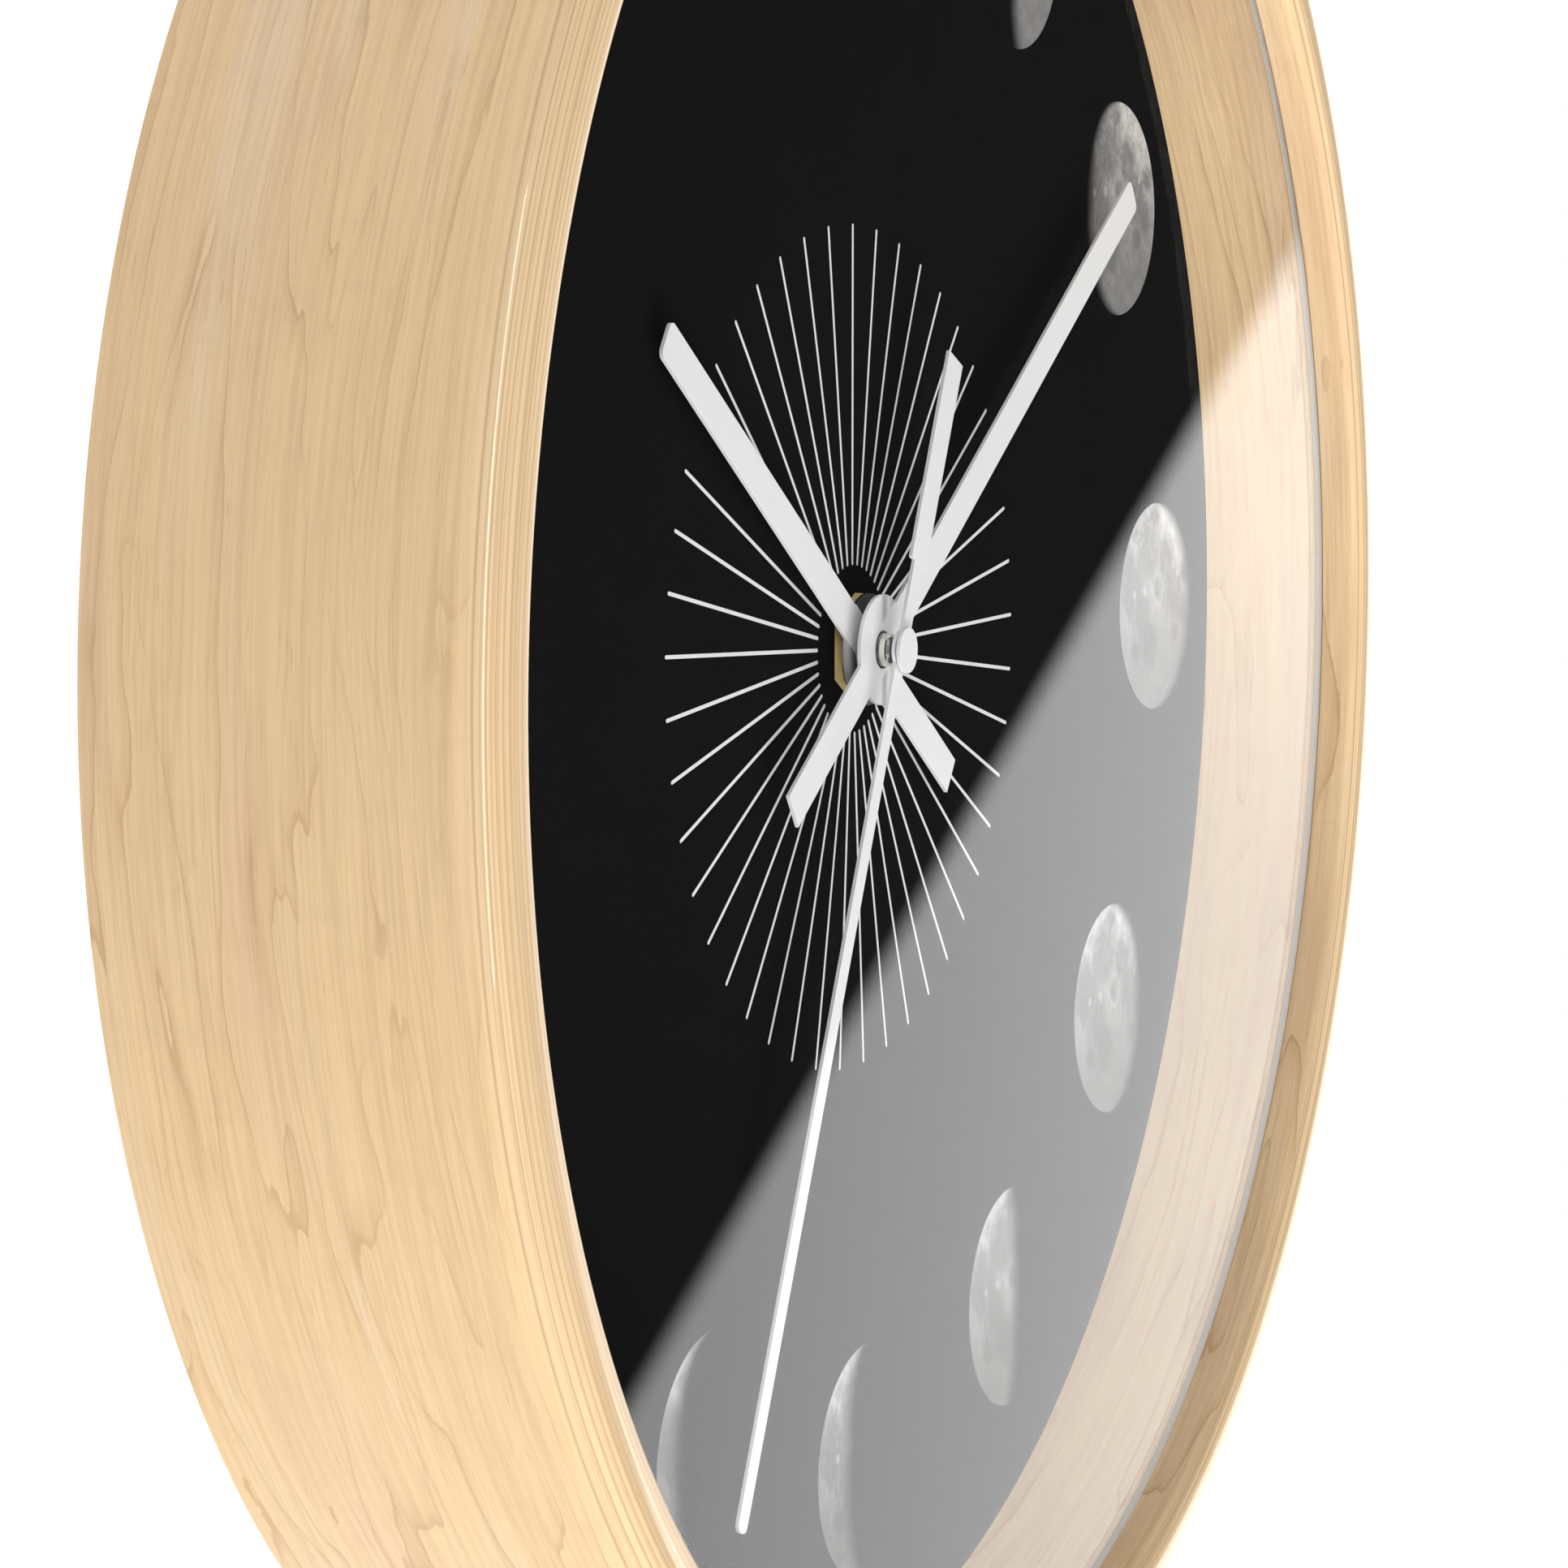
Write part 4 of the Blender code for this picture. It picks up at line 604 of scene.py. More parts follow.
def joined(name, copies):
    """Several objects made one, at the origin."""
    bpy.ops.object.select_all(action="DESELECT")
    for copy in copies:
        copy.select_set(True)
    bpy.context.view_layer.objects.active = copies[0]
    bpy.ops.object.join()
    bpy.context.object.name = name
    return bpy.context.object


bpy.ops.object.select_all(action="DESELECT")
bpy.ops.mesh.primitive_cube_add(size=1.0, location=(0.0, 0.0, 0.0))
ray = bpy.context.object
ray.scale = (RAY_WIDTH, INK + SUNK, RAY_OUTER - RAY_INNER)
ray.location = (0.0, SUNK - PRINT_FRONT - (INK + SUNK) / 2, (RAY_INNER + RAY_OUTER) / 2)
bpy.ops.object.transform_apply()
bpy.ops.object.mode_set(mode="EDIT")
bpy.ops.mesh.select_mode(type="EDGE")
shape = bmesh.from_edit_mesh(ray.data)
for edge in shape.edges:
    run = edge.verts[0].co - edge.verts[1].co
    edge.select = max(abs(run.x), abs(run.z)) < SAME_PLACE
bmesh.update_edit_mesh(ray.data)
bpy.ops.mesh.bevel(offset=RAY_ROUNDING, segments=RAY_FACETS)
bpy.ops.object.mode_set(mode="OBJECT")
rays = []
for number in range(RAYS):
    copy = ray.copy()
    copy.data = ray.data.copy()
    bpy.context.collection.objects.link(copy)
    turn = Matrix.Rotation(math.tau * number / RAYS, 4, "Y")
    copy.data.transform(Matrix.Translation((0.0, 0.0, AXIS_HEIGHT)) @ turn)
    rays.append(copy)
bpy.data.objects.remove(ray)
printed_rays = joined("printed_rays", rays)
white_ink = Finish("white ink", Specular_IOR_Level=0.15)
speck = white_ink.noise(white_ink.place(), scale=2400.0, detail=3.0)
white_ink.paint("Base Color", white_ink.mix(speck.over(0.4, 0.8) * 0.2, RAY_WHITE, RAY_GREY))
white_ink.paint("Roughness", 0.5 + speck * 0.15)
white_ink.bump(speck, 0.003 * MM)
printed_rays.data.materials.append(white_ink.material)
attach(printed_rays, "frame")


# Printed moons
# The ring of moons is full at 3 o'clock and wanes to nothing towards 9 o'clock. Each shows the
# near side, with its grey seas in their rough places, and fades softly into the black.
MOON_RADIUS = 13.7 * MM
MOON_CIRCLE = 95.0 * MM
MOON_CENTRE = (4.5 * MM, 0.4 * MM)
MOON_INK = 0.02 * MM
MOON_STEPS = 96
MOONS = ((33.2, 0.88), (62.0, 0.58), (90.0, 0.34), (115.7, 0.20))
FULL_MOON = 0.975
NIGHT_EDGE = (-0.07, 0.26)
MOON_BRIGHT = (0.70, 0.70, 0.70, 1.0)
MOON_MIDDLE = (0.38, 0.38, 0.38, 1.0)
MOON_SEA = (0.165, 0.165, 0.165, 1.0)
MOON_WHITE = (0.86, 0.86, 0.86, 1.0)
MOON_DIM = (0.16, 0.16, 0.16, 1.0)
SEAS = (
    (-0.22, 0.55, 0.29), (0.26, 0.46, 0.19), (0.45, 0.14, 0.24), (0.80, 0.30, 0.11),
    (0.72, -0.08, 0.15), (0.52, -0.27, 0.10), (-0.20, -0.36, 0.20), (-0.56, -0.42, 0.12),
    (-0.66, 0.22, 0.30), (-0.42, -0.04, 0.24), (0.04, 0.18, 0.10), (-0.05, 0.86, 0.10),
)
BRIGHT_CRATERS = (
    (-0.10, -0.68, 0.07), (-0.32, 0.15, 0.05), (-0.60, 0.13, 0.04), (0.58, 0.28, 0.03),
)

bpy.ops.object.select_all(action="DESELECT")
bpy.ops.mesh.primitive_circle_add(
    vertices=MOON_STEPS, radius=MOON_RADIUS, fill_type="NGON", calc_uvs=True,
    location=(0.0, 0.0, 0.0), rotation=(math.pi / 2, 0.0, 0.0),
)
moon = bpy.context.object
bpy.ops.object.transform_apply()
bpy.ops.object.mode_set(mode="EDIT")
bpy.ops.mesh.select_all(action="SELECT")
bpy.ops.transform.translate(value=(0.0, SUNK - PRINT_FRONT, 0.0))
bpy.ops.mesh.extrude_region_move(
    TRANSFORM_OT_translate={"value": (0.0, -SUNK - MOON_INK, 0.0)}
)
bpy.ops.mesh.select_all(action="SELECT")
bpy.ops.mesh.normals_make_consistent(inside=False)
bpy.ops.object.mode_set(mode="OBJECT")
places = [(0.0, FULL_MOON, -1.0)]
for angle, share in MOONS:
    places.append((angle, share, 1.0))
    places.append((-angle, share, -1.0))
moons = []
for angle, share, lit_side in places:
    copy = moon.copy()
    copy.data = moon.data.copy()
    bpy.context.collection.objects.link(copy)
    around = math.radians(angle)
    copy.data.transform(Matrix.Translation((
        MOON_CENTRE[0] + MOON_CIRCLE * math.cos(around), 0.0,
        AXIS_HEIGHT + MOON_CENTRE[1] + MOON_CIRCLE * math.sin(around),
    )))
    for name, value in (("lit_side", lit_side), ("lit_share", share)):
        mark = copy.data.attributes.new(name, "FLOAT", "POINT")
        mark.data.foreach_set("value", [value] * len(copy.data.vertices))
    moons.append(copy)
bpy.data.objects.remove(moon)
printed_moons = joined("printed_moons", moons)

moonlight = Finish("moon print", Specular_IOR_Level=0.0)
chart = moonlight.node(
    "ShaderNodeVectorMath", {"operation": "MULTIPLY_ADD"},
    {
        0: moonlight.node("ShaderNodeTexCoord", {}, {}, "UV"),
        1: (2.0, 2.0, 0.0), 2: (-1.0, -1.0, 0.0),
    },
)
east, north, _ = moonlight.axes(chart)
shore = moonlight.noise(chart, scale=4.2, detail=9.0, roughness=0.68, distortion=0.3) - 0.5
mottle = moonlight.noise(chart, scale=9.0, detail=9.0, roughness=0.72, distortion=0.2)
patches = moonlight.noise(chart, scale=2.1, detail=3.0, roughness=0.5)
pits = moonlight.node("ShaderNodeTexVoronoi", {}, {"Vector": chart, "Scale": 17.0})


def ground_distance(place_east, place_north):
    """How far a point of the moon's chart lies from a place on it."""
    aside = east - place_east
    away = north - place_north
    return (aside * aside + away * away).root()


def sea_cover(place_east, place_north, size):
    """A grey sea with a ragged shore."""
    reach = ground_distance(place_east, place_north) / size + shore * 2.4
    return reach.over(1.60, 0.60)


def crater_shine(place_east, place_north, size):
    """A bright young crater with streaks that run out from it."""
    away = ground_distance(place_east, place_north)
    turn = away.maths("ARCTAN2", north - place_north, east - place_east)
    around = moonlight.node("ShaderNodeCombineXYZ", {}, {0: turn * 2.2, 1: place_east * 9.0})
    streak = moonlight.noise(around, scale=1.0, detail=2.0).over(0.42, 0.75)
    spot = away.over(size * 1.3, size * 0.6)
    return spot.most(away.over(size * 8.0, size) * streak * 0.35)


sea = sea_cover(*SEAS[0])
for other in SEAS[1:]:
    sea = sea.most(sea_cover(*other))
shine = crater_shine(*BRIGHT_CRATERS[0])
for other in BRIGHT_CRATERS[1:]:
    shine = shine.most(crater_shine(*other))
land = moonlight.mix(patches.over(0.35, 0.65) * 0.5, MOON_BRIGHT, MOON_MIDDLE)
land = moonlight.mix(mottle.over(0.38, 0.62) * 0.70, land, MOON_MIDDLE)
land = moonlight.mix(pits.over(0.20, 0.04) * mottle.over(0.35, 0.6) * 0.35, land, MOON_WHITE)
land = moonlight.mix(sea * (0.42 + mottle * 0.55), land, MOON_SEA)
land = moonlight.mix(shine * 0.5, land, MOON_WHITE)
land = moonlight.mix(north.over(0.85, -0.75) * 0.78, land, MOON_DIM)
half_width = (1.0 - north * north).root()
lit_side = moonlight.node("ShaderNodeAttribute", {"attribute_name": "lit_side"}, {}, "Fac")
lit_share = moonlight.node("ShaderNodeAttribute", {"attribute_name": "lit_share"}, {}, "Fac")
day = (east * lit_side + half_width * (lit_share * 2.0 - 1.0)).over(*NIGHT_EDGE)
moonlight.paint("Base Color", moonlight.mix(day, PRINT_BLACK, land))
moonlight.paint("Roughness", 0.58 + mottle * 0.1)
printed_moons.data.materials.append(moonlight.material)
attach(printed_moons, "frame")


# Stem, nut and washer
# The movement's brass stem passes through the dial, and a turned hex nut clamps it there on a
# soft rubber washer behind. The nut keeps its bright turned faces.
BRASS = (0.95, 0.72, 0.32, 1.0)
BRASS_DULL = (0.78, 0.57, 0.24, 1.0)
TOOL_MARKS_PER_METRE = 9000.0
RUBBER = (0.018, 0.018, 0.018, 1.0)
RUBBER_DUSTY = (0.05, 0.05, 0.05, 1.0)

brass = Finish("turned brass", Metallic=0.2)
across, depth, up = about_axis(brass)
radius = (across * across + up * up).root()
turned_path = brass.node(
    "ShaderNodeCombineXYZ", {}, {0: radius * TOOL_MARKS_PER_METRE, 1: depth * TOOL_MARKS_PER_METRE}
)
tool_marks = brass.noise(turned_path, scale=1.0, detail=3.0)
tarnish = brass.noise(brass.place(), scale=420.0, detail=4.0, roughness=0.6)
brass.paint("Base Color", brass.mix(tarnish.over(0.42, 0.75) * 0.5, BRASS, BRASS_DULL))
brass.paint("Roughness", 0.26 + tarnish * 0.18)
brass.bump(tool_marks, 0.006 * MM)
finish_node("fixing_nut", brass)
finish_node("threaded_stem", brass)

rubber = Finish("black rubber", Specular_IOR_Level=0.2)
dust = rubber.noise(rubber.place(), scale=900.0, detail=4.0, roughness=0.7)
rubber.paint("Base Color", rubber.mix(dust.over(0.5, 0.8) * 0.4, RUBBER, RUBBER_DUSTY))
rubber.paint("Roughness", 0.75 + dust * 0.2)
rubber.bump(dust, 0.03 * MM)
finish_node("cushion_washer", rubber)


# Hands
# Three plain hands stamped from thin sheet and sprayed white, each with a straight tail. The hubs
# of the hour and minute hands carry painted shade and reflection: beside its bar, the hour hub is
# painted grey at its left and darkens to near black towards its right, and the minute hub has
# painted grey reflection bands. The minute pipe ends in a chromed ring, and the second hand sits
# on a blued steel tube.
HAND_WHITE = (0.83, 0.83, 0.83, 1.0)
HAND_GREY = (0.74, 0.74, 0.74, 1.0)
HAND_HALF_WIDTH = 2.3 * MM
HOUR_ANGLE = 304.04
HOUR_HUB_EDGE = 0.1 * MM
HOUR_HUB_PAINTED_SHADE = (-5.7 * MM, -3.3 * MM)
HUB_PAINTED_SHADE_DARK = (0.030, 0.030, 0.034, 1.0)
HUB_PAINTED_SHADE_LIGHT = (0.50, 0.50, 0.51, 1.0)
MINUTE_ANGLE = 55.87
MINUTE_HUB_EDGE = 0.6 * MM
PAINTED_REFLECTION_MIDDLE = 0.4 * MM
PAINTED_REFLECTION_FADE = (1.1 * MM, 0.2 * MM)
FAR_PAINTED_REFLECTION = (1.6 * MM, 3.0 * MM)
NEAR_REFLECTION_SHARE = 0.8
FAR_REFLECTION_SHARE = 0.9
HUB_PAINTED_REFLECTION = (0.36, 0.36, 0.36, 1.0)
CHROME = (0.86, 0.85, 0.77, 1.0)
CHROME_DULL = (0.60, 0.60, 0.56, 1.0)
BLUED = (0.10, 0.10, 0.11, 1.0)
BLUED_DARK = (0.05, 0.05, 0.05, 1.0)


def white_paint_finish(name):
    """White spray paint, with a faint orange-peel surface."""
    paint = Finish(name, Coat_Weight=0.35, Coat_Roughness=0.12, Specular_IOR_Level=0.3)
    peel = paint.noise(paint.place(), scale=700.0, detail=2.0)
    grit = paint.noise(paint.place(), scale=3200.0, detail=2.0)
    colour = paint.mix(grit.over(0.6, 0.9) * 0.15, HAND_WHITE, HAND_GREY)
    paint.paint("Roughness", 0.36 + peel * 0.08)
    paint.bump(peel, 0.004 * MM)
    return paint, colour


def hub_beside_bar(paint, angle, edge):
    """1 on the hub beside the hand's bar, and how far to the right of the axis a point lies."""
    across, _, up = about_axis(paint)
    turn = math.radians(angle)
    aside = (across * math.cos(turn) - up * math.sin(turn)).size()
    return aside.over(HAND_HALF_WIDTH, HAND_HALF_WIDTH + edge), across


hour_paint, hour_white = white_paint_finish("hour hand paint")
hub, across = hub_beside_bar(hour_paint, HOUR_ANGLE, HOUR_HUB_EDGE)
# Painted shade and reflection on the hour hub beside the bar: grey at its left, darkening to near
# black towards its right.
painted_hub_shade_and_reflection = hour_paint.mix(across.over(*HOUR_HUB_PAINTED_SHADE), HUB_PAINTED_SHADE_LIGHT, HUB_PAINTED_SHADE_DARK)
hour_paint.paint("Base Color", hour_paint.mix(hub, hour_white, painted_hub_shade_and_reflection))
finish_node("hour_hand", hour_paint)

minute_paint, minute_white = white_paint_finish("minute hand paint")
hub, across = hub_beside_bar(minute_paint, MINUTE_ANGLE, MINUTE_HUB_EDGE)
# Painted reflection bands on the minute hub beside the bar: a grey band near the axis, and grey
# over its right part.
near_painted_reflection = (across - PAINTED_REFLECTION_MIDDLE).size().over(*PAINTED_REFLECTION_FADE) * NEAR_REFLECTION_SHARE
far_painted_reflection = across.over(*FAR_PAINTED_REFLECTION) * FAR_REFLECTION_SHARE
painted_hub_shade_and_reflection = minute_paint.mix(near_painted_reflection.most(far_painted_reflection), minute_white, HUB_PAINTED_REFLECTION)
minute_paint.paint("Base Color", minute_paint.mix(hub, minute_white, painted_hub_shade_and_reflection))
finish_node("minute_hand", minute_paint)

white_paint, plain_white = white_paint_finish("white paint")
white_paint.paint("Base Color", plain_white)
for node in ("hour_collet", "second_hand", "second_hand_cap"):
    finish_node(node, white_paint)


def bright_metal(name, colour, dull):
    """Bright turned metal with a fine swirl, not quite a mirror."""
    metal = Finish(name, Metallic=1.0)
    swirl = metal.noise(metal.place(), scale=1500.0, detail=3.0)
    metal.paint("Base Color", metal.mix(swirl.over(0.5, 0.9) * 0.3, colour, dull))
    metal.paint("Roughness", 0.12 + swirl * 0.06)
    return metal


finish_node("minute_collet", bright_metal("chrome", CHROME, CHROME_DULL))
finish_node("second_hand_tube", bright_metal("blued tube", BLUED, BLUED_DARK))


# Movement case, lid and knob
# A square case moulded in black plastic with a fine satin spark finish, its snapped-in lid and
# the ribbed knob that sets the hands.
CASE_BLACK = (0.020, 0.020, 0.022, 1.0)
CASE_SHEEN = (0.036, 0.036, 0.039, 1.0)

plastic = Finish("moulded black plastic", Specular_IOR_Level=0.45)
spark = plastic.noise(plastic.place(), scale=3400.0, detail=3.0, roughness=0.6)
flow = plastic.noise(plastic.place(scale=(1.0, 1.0, 3.0)), scale=55.0, detail=3.0)
plastic.paint("Base Color", plastic.mix(spark * 0.4 + flow * 0.4, CASE_BLACK, CASE_SHEEN))
plastic.paint("Roughness", 0.42 + spark * 0.2 + flow * 0.06)
plastic.bump(spark, 0.02 * MM)
for node in ("movement_case", "movement_lid", "setting_knob"):
    finish_node(node, plastic)


# Moulded relief
# The lid's back carries a narrow border, the signs of the cell's two ends and an arrow beside
# the knob. All are moulded with it, and the knob's own grip stands a little out of its well.
LID_LOW, LID_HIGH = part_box("movement_lid")
KNOB_LOW, KNOB_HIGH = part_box("setting_knob")
KNOB_CENTRE = (KNOB_LOW + KNOB_HIGH) / 2
RELIEF_HEIGHT = 0.35 * MM
RELIEF_LINE = 0.7 * MM
RELIEF_EDGE = 0.06 * MM
RELIEF_FACETS = 2
BORDER_INSET = 1.6 * MM
BORDER_ROUND = 2.2 * MM
BORDER_FACETS = 6
SIGN_SIZE = 2.4 * MM
SIGN_CELLS = 3
SIGN_ACROSS = 22.5 * MM
SIGN_UP = 4.2 * MM
ARROW_STEPS = 72
ARROW_RADIUS = 8.4 * MM
ARROW_SHARE = 0.42
ARROW_HEAD = 1.5 * MM
GRIP_RADIUS = 4.9 * MM
GRIP_LOBES = 24
GRIP_NOTCH = 0.22 * MM
GRIP_HEIGHT = 0.75 * MM
GRIP_RIM = 1.0 * MM
GRIP_DISH = 0.35 * MM
DISH_SHARE = 0.9


def plan_editing(add, **sizes):
    """Adds a flat primitive at the origin and starts to edit it."""
    bpy.ops.object.select_all(action="DESELECT")
    add(location=(0.0, 0.0, 0.0), **sizes)
    bpy.ops.object.mode_set(mode="EDIT")


def raised(name):
    """Makes the flat plan in edit mode, whose Y is the clock's Z, a low relief on the lid."""
    made = bpy.context.object
    made.name = name
    bpy.ops.mesh.select_all(action="SELECT")
    bpy.ops.mesh.extrude_region_move(TRANSFORM_OT_translate={"value": (0.0, 0.0, RELIEF_HEIGHT)})
    bpy.ops.mesh.select_all(action="SELECT")
    bpy.ops.mesh.normals_make_consistent(inside=False)
    bpy.ops.object.mode_set(mode="OBJECT")
    proud = Vector((0.0, LID_HIGH.y + RELIEF_HEIGHT - SUNK, 0.0))
    made.data.transform(Matrix.Translation(proud) @ Matrix.Rotation(math.pi / 2, 4, "X"))
    bpy.ops.object.modifier_add(type="BEVEL")
    made.modifiers["Bevel"].width = RELIEF_EDGE
    made.modifiers["Bevel"].segments = RELIEF_FACETS
    bpy.ops.object.modifier_apply(modifier="Bevel")
    return made


plan_editing(bpy.ops.mesh.primitive_plane_add, size=1.0)
lid_size = LID_HIGH - LID_LOW
bpy.ops.transform.resize(
    value=(lid_size.x - 2 * BORDER_INSET, lid_size.z - 2 * BORDER_INSET, 1.0)
)
bpy.ops.transform.translate(value=(0.0, (LID_LOW.z + LID_HIGH.z) / 2, 0.0))
bpy.ops.mesh.bevel(offset=BORDER_ROUND, segments=BORDER_FACETS, affect="VERTICES")
bpy.ops.mesh.select_all(action="SELECT")
bpy.ops.mesh.inset(thickness=RELIEF_LINE)
bpy.ops.mesh.delete(type="FACE")
reliefs = [raised("lid_border")]

plan_editing(
    bpy.ops.mesh.primitive_grid_add,
    x_subdivisions=SIGN_CELLS, y_subdivisions=SIGN_CELLS, size=SIGN_SIZE,
)
shape = bmesh.from_edit_mesh(bpy.context.object.data)
for face in shape.faces:
    centre = face.calc_center_median()
    face.select_set(min(abs(centre.x), abs(centre.y)) > SIGN_SIZE / SIGN_CELLS / 2)
bmesh.update_edit_mesh(bpy.context.object.data)
bpy.ops.mesh.delete(type="FACE")
bpy.ops.mesh.select_all(action="SELECT")
bpy.ops.transform.translate(value=(-SIGN_ACROSS, LID_LOW.z + SIGN_UP, 0.0))
reliefs.append(raised("plus_sign"))

plan_editing(bpy.ops.mesh.primitive_plane_add, size=SIGN_SIZE)
bpy.ops.transform.resize(value=(1.0, 1 / SIGN_CELLS, 1.0))
bpy.ops.transform.translate(value=(SIGN_ACROSS, LID_LOW.z + SIGN_UP, 0.0))
reliefs.append(raised("minus_sign"))

plan_editing(bpy.ops.mesh.primitive_circle_add, vertices=ARROW_STEPS, radius=ARROW_RADIUS)
chosen(lambda place: place.y < ARROW_RADIUS * ARROW_SHARE)
bpy.ops.mesh.delete(type="VERT")
bpy.ops.mesh.select_all(action="SELECT")
bpy.ops.mesh.extrude_region_move(TRANSFORM_OT_translate={"value": (0.0, 0.0, 0.0)})
inner_share = 1.0 - RELIEF_LINE / ARROW_RADIUS
bpy.ops.transform.resize(
    value=(inner_share, inner_share, 1.0), center_override=(0.0, 0.0, 0.0)
)
bpy.ops.mesh.select_all(action="SELECT")
bpy.ops.transform.translate(value=(KNOB_CENTRE.x, KNOB_CENTRE.z, 0.0))
reliefs.append(raised("arrow_stem"))

stem_middle = ARROW_RADIUS - RELIEF_LINE / 2
stem_turn = math.acos(ARROW_SHARE)
for way in (-1.0, 1.0):
    plan_editing(
        bpy.ops.mesh.primitive_circle_add, vertices=3, radius=ARROW_HEAD, fill_type="NGON"
    )
    bpy.ops.object.mode_set(mode="OBJECT")
    bpy.context.object.data.transform(
        Matrix.Translation((KNOB_CENTRE.x, KNOB_CENTRE.z, 0.0))
        @ Matrix.Rotation(-way * stem_turn, 4, "Z")
        @ Matrix.Translation((way * ARROW_HEAD / 2, stem_middle, 0.0))
        @ Matrix.Rotation(-way * math.pi / 2, 4, "Z")
    )
    bpy.ops.object.mode_set(mode="EDIT")
    reliefs.append(raised("arrow_head"))

lid_relief = joined("lid_relief", reliefs)
lid_relief.data.materials.append(plastic.material)
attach(lid_relief, "frame")

bpy.ops.object.select_all(action="DESELECT")
bpy.ops.mesh.primitive_cylinder_add(
    vertices=2 * GRIP_LOBES, radius=GRIP_RADIUS, depth=GRIP_HEIGHT,
    rotation=(math.pi / 2, 0.0, 0.0),
    location=(KNOB_CENTRE.x, KNOB_HIGH.y + GRIP_HEIGHT / 2 - SUNK, KNOB_CENTRE.z),
)
knob_grip = bpy.context.object
knob_grip.name = "knob_grip"
bpy.ops.object.transform_apply()
bpy.ops.object.mode_set(mode="EDIT")
lobe = math.pi / GRIP_LOBES
chosen(lambda place: round(
    math.atan2(place.z - KNOB_CENTRE.z, place.x - KNOB_CENTRE.x) / lobe - 0.5
) % 2 == 0)
notch_share = 1.0 - GRIP_NOTCH / GRIP_RADIUS
bpy.ops.transform.resize(
    value=(notch_share, 1.0, notch_share), center_override=(KNOB_CENTRE.x, 0.0, KNOB_CENTRE.z)
)
bpy.ops.mesh.select_mode(type="FACE")
shape = bmesh.from_edit_mesh(knob_grip.data)
for face in shape.faces:
    face.select_set(face.normal.y > 0.9)
bmesh.update_edit_mesh(knob_grip.data)
for share, sink in ((1.0 - GRIP_RIM / GRIP_RADIUS, 0.0), (DISH_SHARE, GRIP_DISH)):
    bpy.ops.mesh.extrude_region_move(TRANSFORM_OT_translate={"value": (0.0, -sink, 0.0)})
    bpy.ops.transform.resize(
        value=(share, 1.0, share), center_override=(KNOB_CENTRE.x, 0.0, KNOB_CENTRE.z)
    )
bpy.ops.object.mode_set(mode="OBJECT")
knob_grip.data.materials.append(plastic.material)
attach(knob_grip, "setting")


# Battery and contacts
# An AA cell in a plain dark sleeve with a copper-coloured band at its positive end and bare
# nickelled ends, held between two contacts of nickelled spring steel. The quartz crystal's can
# has the same plating.
CELL_LOW, CELL_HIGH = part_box("battery")
SLEEVE = (0.035, 0.045, 0.06, 1.0)
BAND = (0.55, 0.30, 0.13, 1.0)
NICKEL = (0.66, 0.64, 0.60, 1.0)
NICKEL_DULL = (0.45, 0.43, 0.40, 1.0)
SCUFFED = (0.30, 0.30, 0.30, 1.0)
BAND_END = CELL_LOW.x + 12.0 * MM
BARE_PLUS_END = CELL_LOW.x + 2.0 * MM
BARE_MINUS_END = CELL_HIGH.x - 0.4 * MM
SLEEVE_EDGE = 0.1 * MM

cell = Finish("cell sleeve", Coat_Weight=0.6, Coat_Roughness=0.1)
along = cell.axes(cell.place())[0]
scuff = cell.noise(cell.place(scale=(0.3, 1.0, 1.0)), scale=900.0, detail=4.0, roughness=0.7)
banded = along.over(BAND_END, BAND_END - SLEEVE_EDGE)
bare_plus = along.over(BARE_PLUS_END, BARE_PLUS_END - SLEEVE_EDGE)
bare = bare_plus.most(along.over(BARE_MINUS_END - SLEEVE_EDGE, BARE_MINUS_END))
skin = cell.mix(banded, SLEEVE, BAND)
skin = cell.mix(bare, skin, NICKEL)
cell.paint("Base Color", cell.mix(scuff.over(0.62, 0.8) * 0.25, skin, SCUFFED))
cell.paint("Metallic", bare.most(banded * 0.8))
cell.paint("Roughness", 0.28 + scuff * 0.15)
cell.bump(scuff, 0.004 * MM)
finish_node("battery", cell)

nickel = Finish("nickel plate", Metallic=1.0)
rolled = nickel.noise(nickel.place(scale=(1.0, 12.0, 1.0)), scale=300.0, detail=4.0, roughness=0.6)
nickel.paint("Base Color", nickel.mix(rolled.over(0.4, 0.8) * 0.4, NICKEL, NICKEL_DULL))
nickel.paint("Roughness", 0.22 + rolled * 0.16)
nickel.bump(rolled, 0.006 * MM)
for node in ("positive_contact", "negative_contact", "quartz_crystal"):
    finish_node(node, nickel)


# Gear train
# Wheels and pinions moulded in natural acetal, each with its arbor, between the case and the
# lid. The coil's bobbin is the same plastic. The minute pipe is steel, and so are the motor's
# core, stator and screws.
ACETAL = (0.78, 0.77, 0.72, 1.0)
ACETAL_DEEP = (0.66, 0.64, 0.57, 1.0)
STEEL = (0.46, 0.46, 0.47, 1.0)
STEEL_DARK = (0.30, 0.30, 0.31, 1.0)

acetal = Finish("natural acetal", Specular_IOR_Level=0.5, Subsurface_Weight=0.05)
moulding = acetal.noise(acetal.place(), scale=1300.0, detail=3.0)
waxy = acetal.noise(acetal.place(), scale=140.0, detail=2.0)
acetal.paint("Base Color", acetal.mix(waxy.over(0.35, 0.75) * 0.6, ACETAL, ACETAL_DEEP))
acetal.paint("Roughness", 0.34 + moulding * 0.12)
acetal.bump(moulding, 0.005 * MM)
for node in (
    "rotor_pinion", "intermediate_wheel", "second_wheel", "third_wheel", "centre_wheel",
    "motion_wheel", "hour_wheel", "setting_arbor", "coil_bobbin",
):
    finish_node(node, acetal)

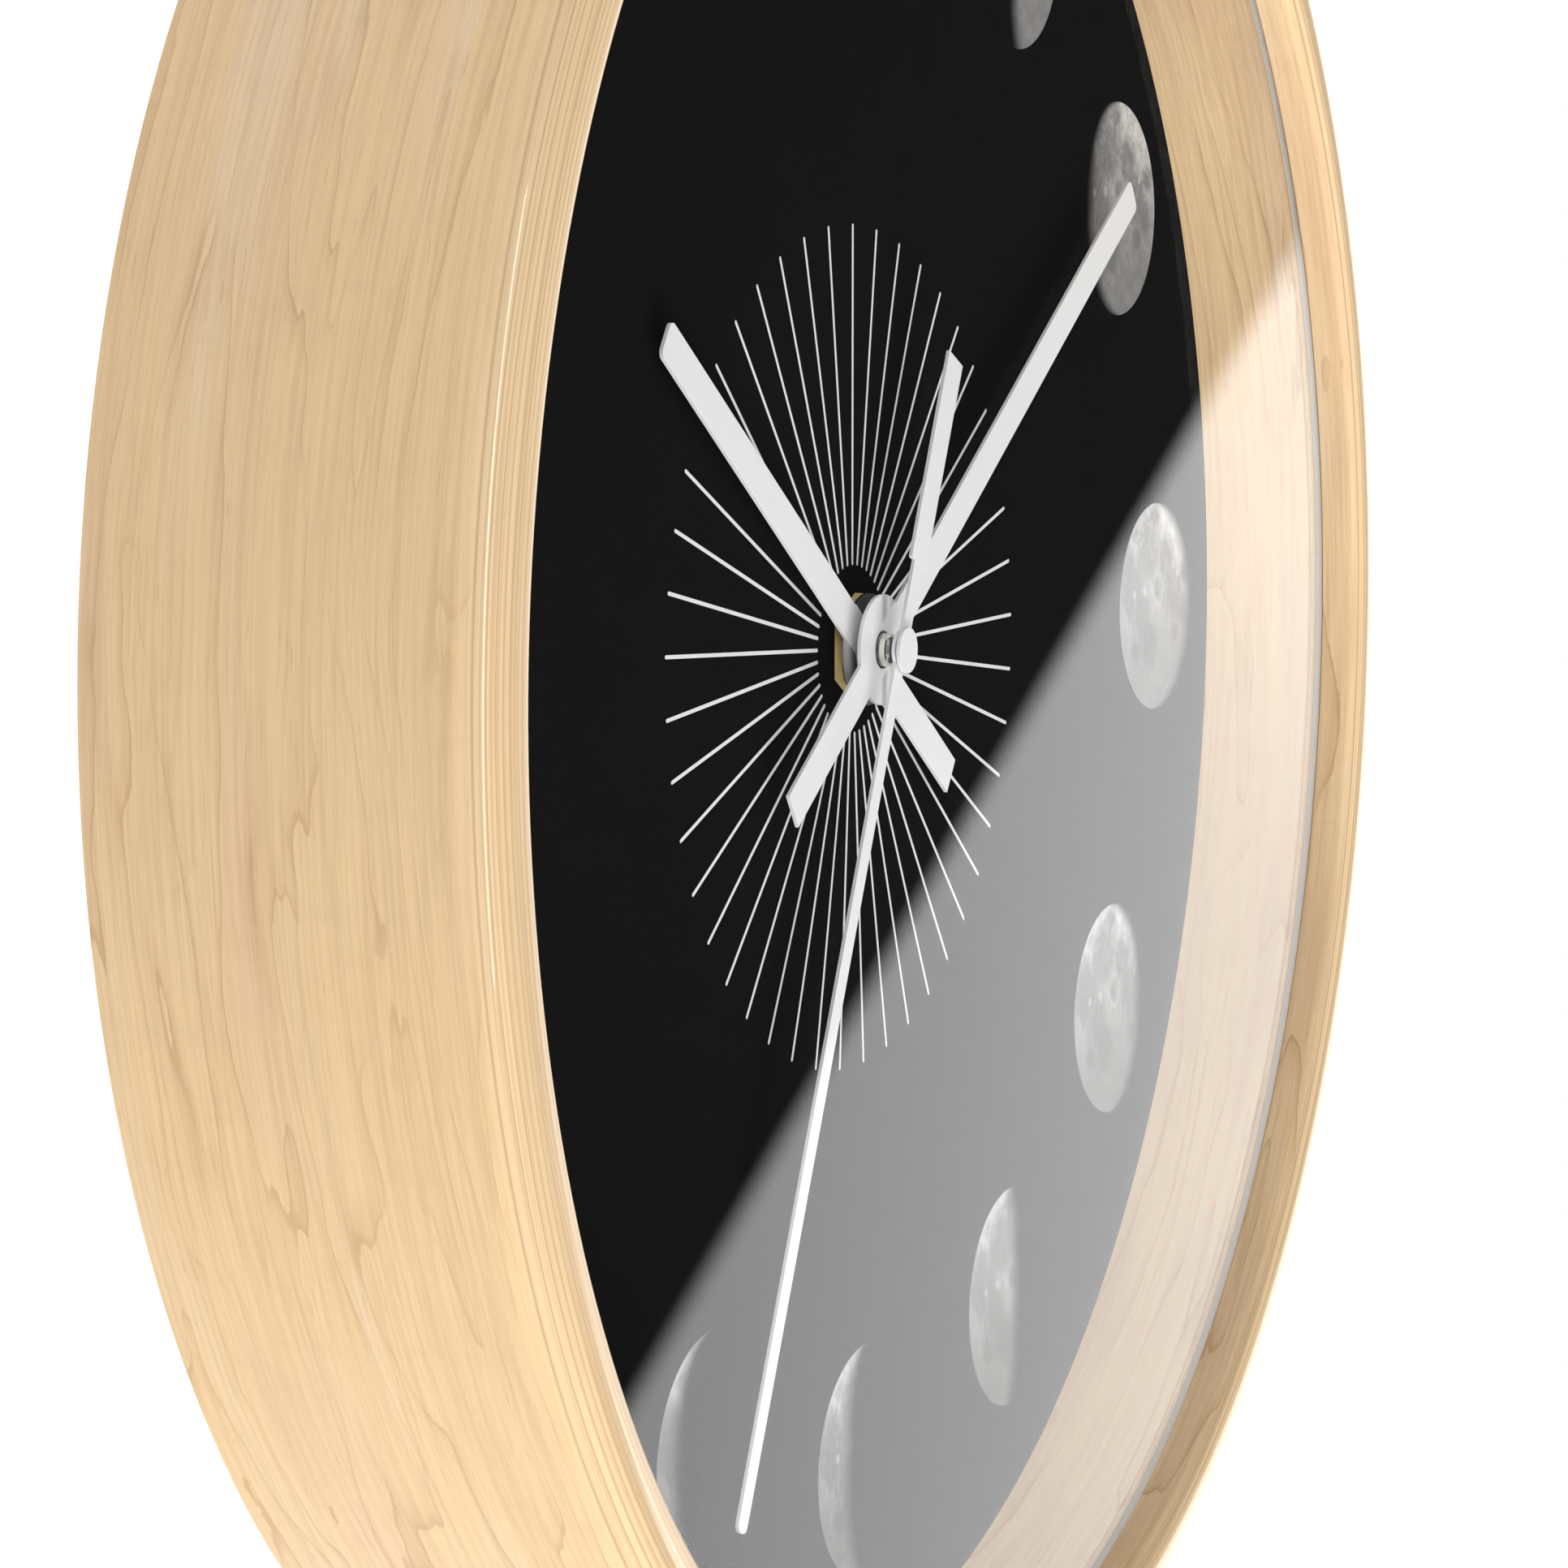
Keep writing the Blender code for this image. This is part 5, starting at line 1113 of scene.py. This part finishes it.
steel = Finish("bare steel", Metallic=1.0)
brushed = steel.noise(steel.place(scale=(1.0, 1.0, 14.0)), scale=260.0, detail=5.0, roughness=0.65)
steel.paint("Base Color", steel.mix(brushed.over(0.4, 0.75) * 0.5, STEEL, STEEL_DARK))
steel.paint("Roughness", 0.30 + brushed * 0.2)
steel.bump(brushed, 0.006 * MM)
for node in (
    "minute_pipe", "coil_core", "stator_plate", "stator_screw_lower", "stator_screw_upper",
):
    finish_node(node, steel)


# Step motor and circuit
# A sintered magnet turns between the steel stator's poles, driven by a coil of fine enamelled
# copper wire. The green board beside it carries the crystal and the chip under its epoxy.
COPPER = (0.56, 0.21, 0.085, 1.0)
COPPER_DARK = (0.30, 0.10, 0.04, 1.0)
WIRES_PER_METRE = 6200.0
WIRE_HEIGHT = 0.05 * MM
MAGNET_DARK = (0.07, 0.07, 0.08, 1.0)
MAGNET_GREY = (0.13, 0.13, 0.14, 1.0)
BOARD_GREEN = (0.018, 0.14, 0.055, 1.0)
TRACK_GREEN = (0.035, 0.22, 0.09, 1.0)
TRACKS_PER_METRE = (620.0, 1.0, 240.0)
EPOXY_BLACK = (0.008, 0.008, 0.008, 1.0)
EPOXY_GREY = (0.016, 0.016, 0.016, 1.0)

magnet = Finish("sintered magnet", Metallic=0.6)
grain = magnet.noise(magnet.place(), scale=2600.0, detail=4.0, roughness=0.7)
magnet.paint("Base Color", magnet.mix(grain, MAGNET_DARK, MAGNET_GREY))
magnet.paint("Roughness", 0.45 + grain * 0.25)
magnet.bump(grain, 0.02 * MM)
finish_node("rotor_magnet", magnet)

winding = Finish("enamelled copper", Metallic=0.85, Coat_Weight=0.5, Coat_Roughness=0.15)
up = winding.axes(winding.place(scale=(1.0, 1.0, WIRES_PER_METRE)))[2]
strand = (up.part() - 0.5).size() * 2.0
uneven = winding.noise(winding.place(), scale=700.0, detail=3.0)
# Painted shade: the copper darkens in the grooves between the wires, with a random uneven tone on
# top.
gap_shade_and_unevenness = strand.over(0.5, 1.0) * 0.7 + uneven * 0.2
winding.paint("Base Color", winding.mix(gap_shade_and_unevenness, COPPER, COPPER_DARK))
winding.paint("Roughness", 0.26 + uneven * 0.14)
winding.bump(1.0 - strand * strand, WIRE_HEIGHT)
finish_node("coil_winding", winding)

laminate = Finish("circuit laminate", Specular_IOR_Level=0.5, Coat_Weight=0.3)
weave = laminate.noise(laminate.place(), scale=1800.0, detail=2.0)
across, _, up = laminate.axes(laminate.place(scale=TRACKS_PER_METRE))
sway = laminate.noise(laminate.place(), scale=180.0, detail=1.0) * 2.0
tracks = (across + sway).part().over(0.52, 0.60) * (up.part() - 0.5).size().over(0.1, 0.2)
laminate.paint("Base Color", laminate.mix(tracks, BOARD_GREEN, TRACK_GREEN))
laminate.paint("Roughness", 0.34 + weave * 0.12)
laminate.bump(tracks * 0.8 + weave * 0.2, 0.03 * MM)
finish_node("circuit_board", laminate)

epoxy = Finish("black epoxy", Specular_IOR_Level=0.5)
sag = epoxy.noise(epoxy.place(), scale=500.0, detail=2.0)
epoxy.paint("Base Color", epoxy.mix(sag, EPOXY_BLACK, EPOXY_GREY))
epoxy.paint("Roughness", 0.16 + sag * 0.14)
epoxy.bump(sag, 0.05 * MM)
finish_node("clock_chip", epoxy)
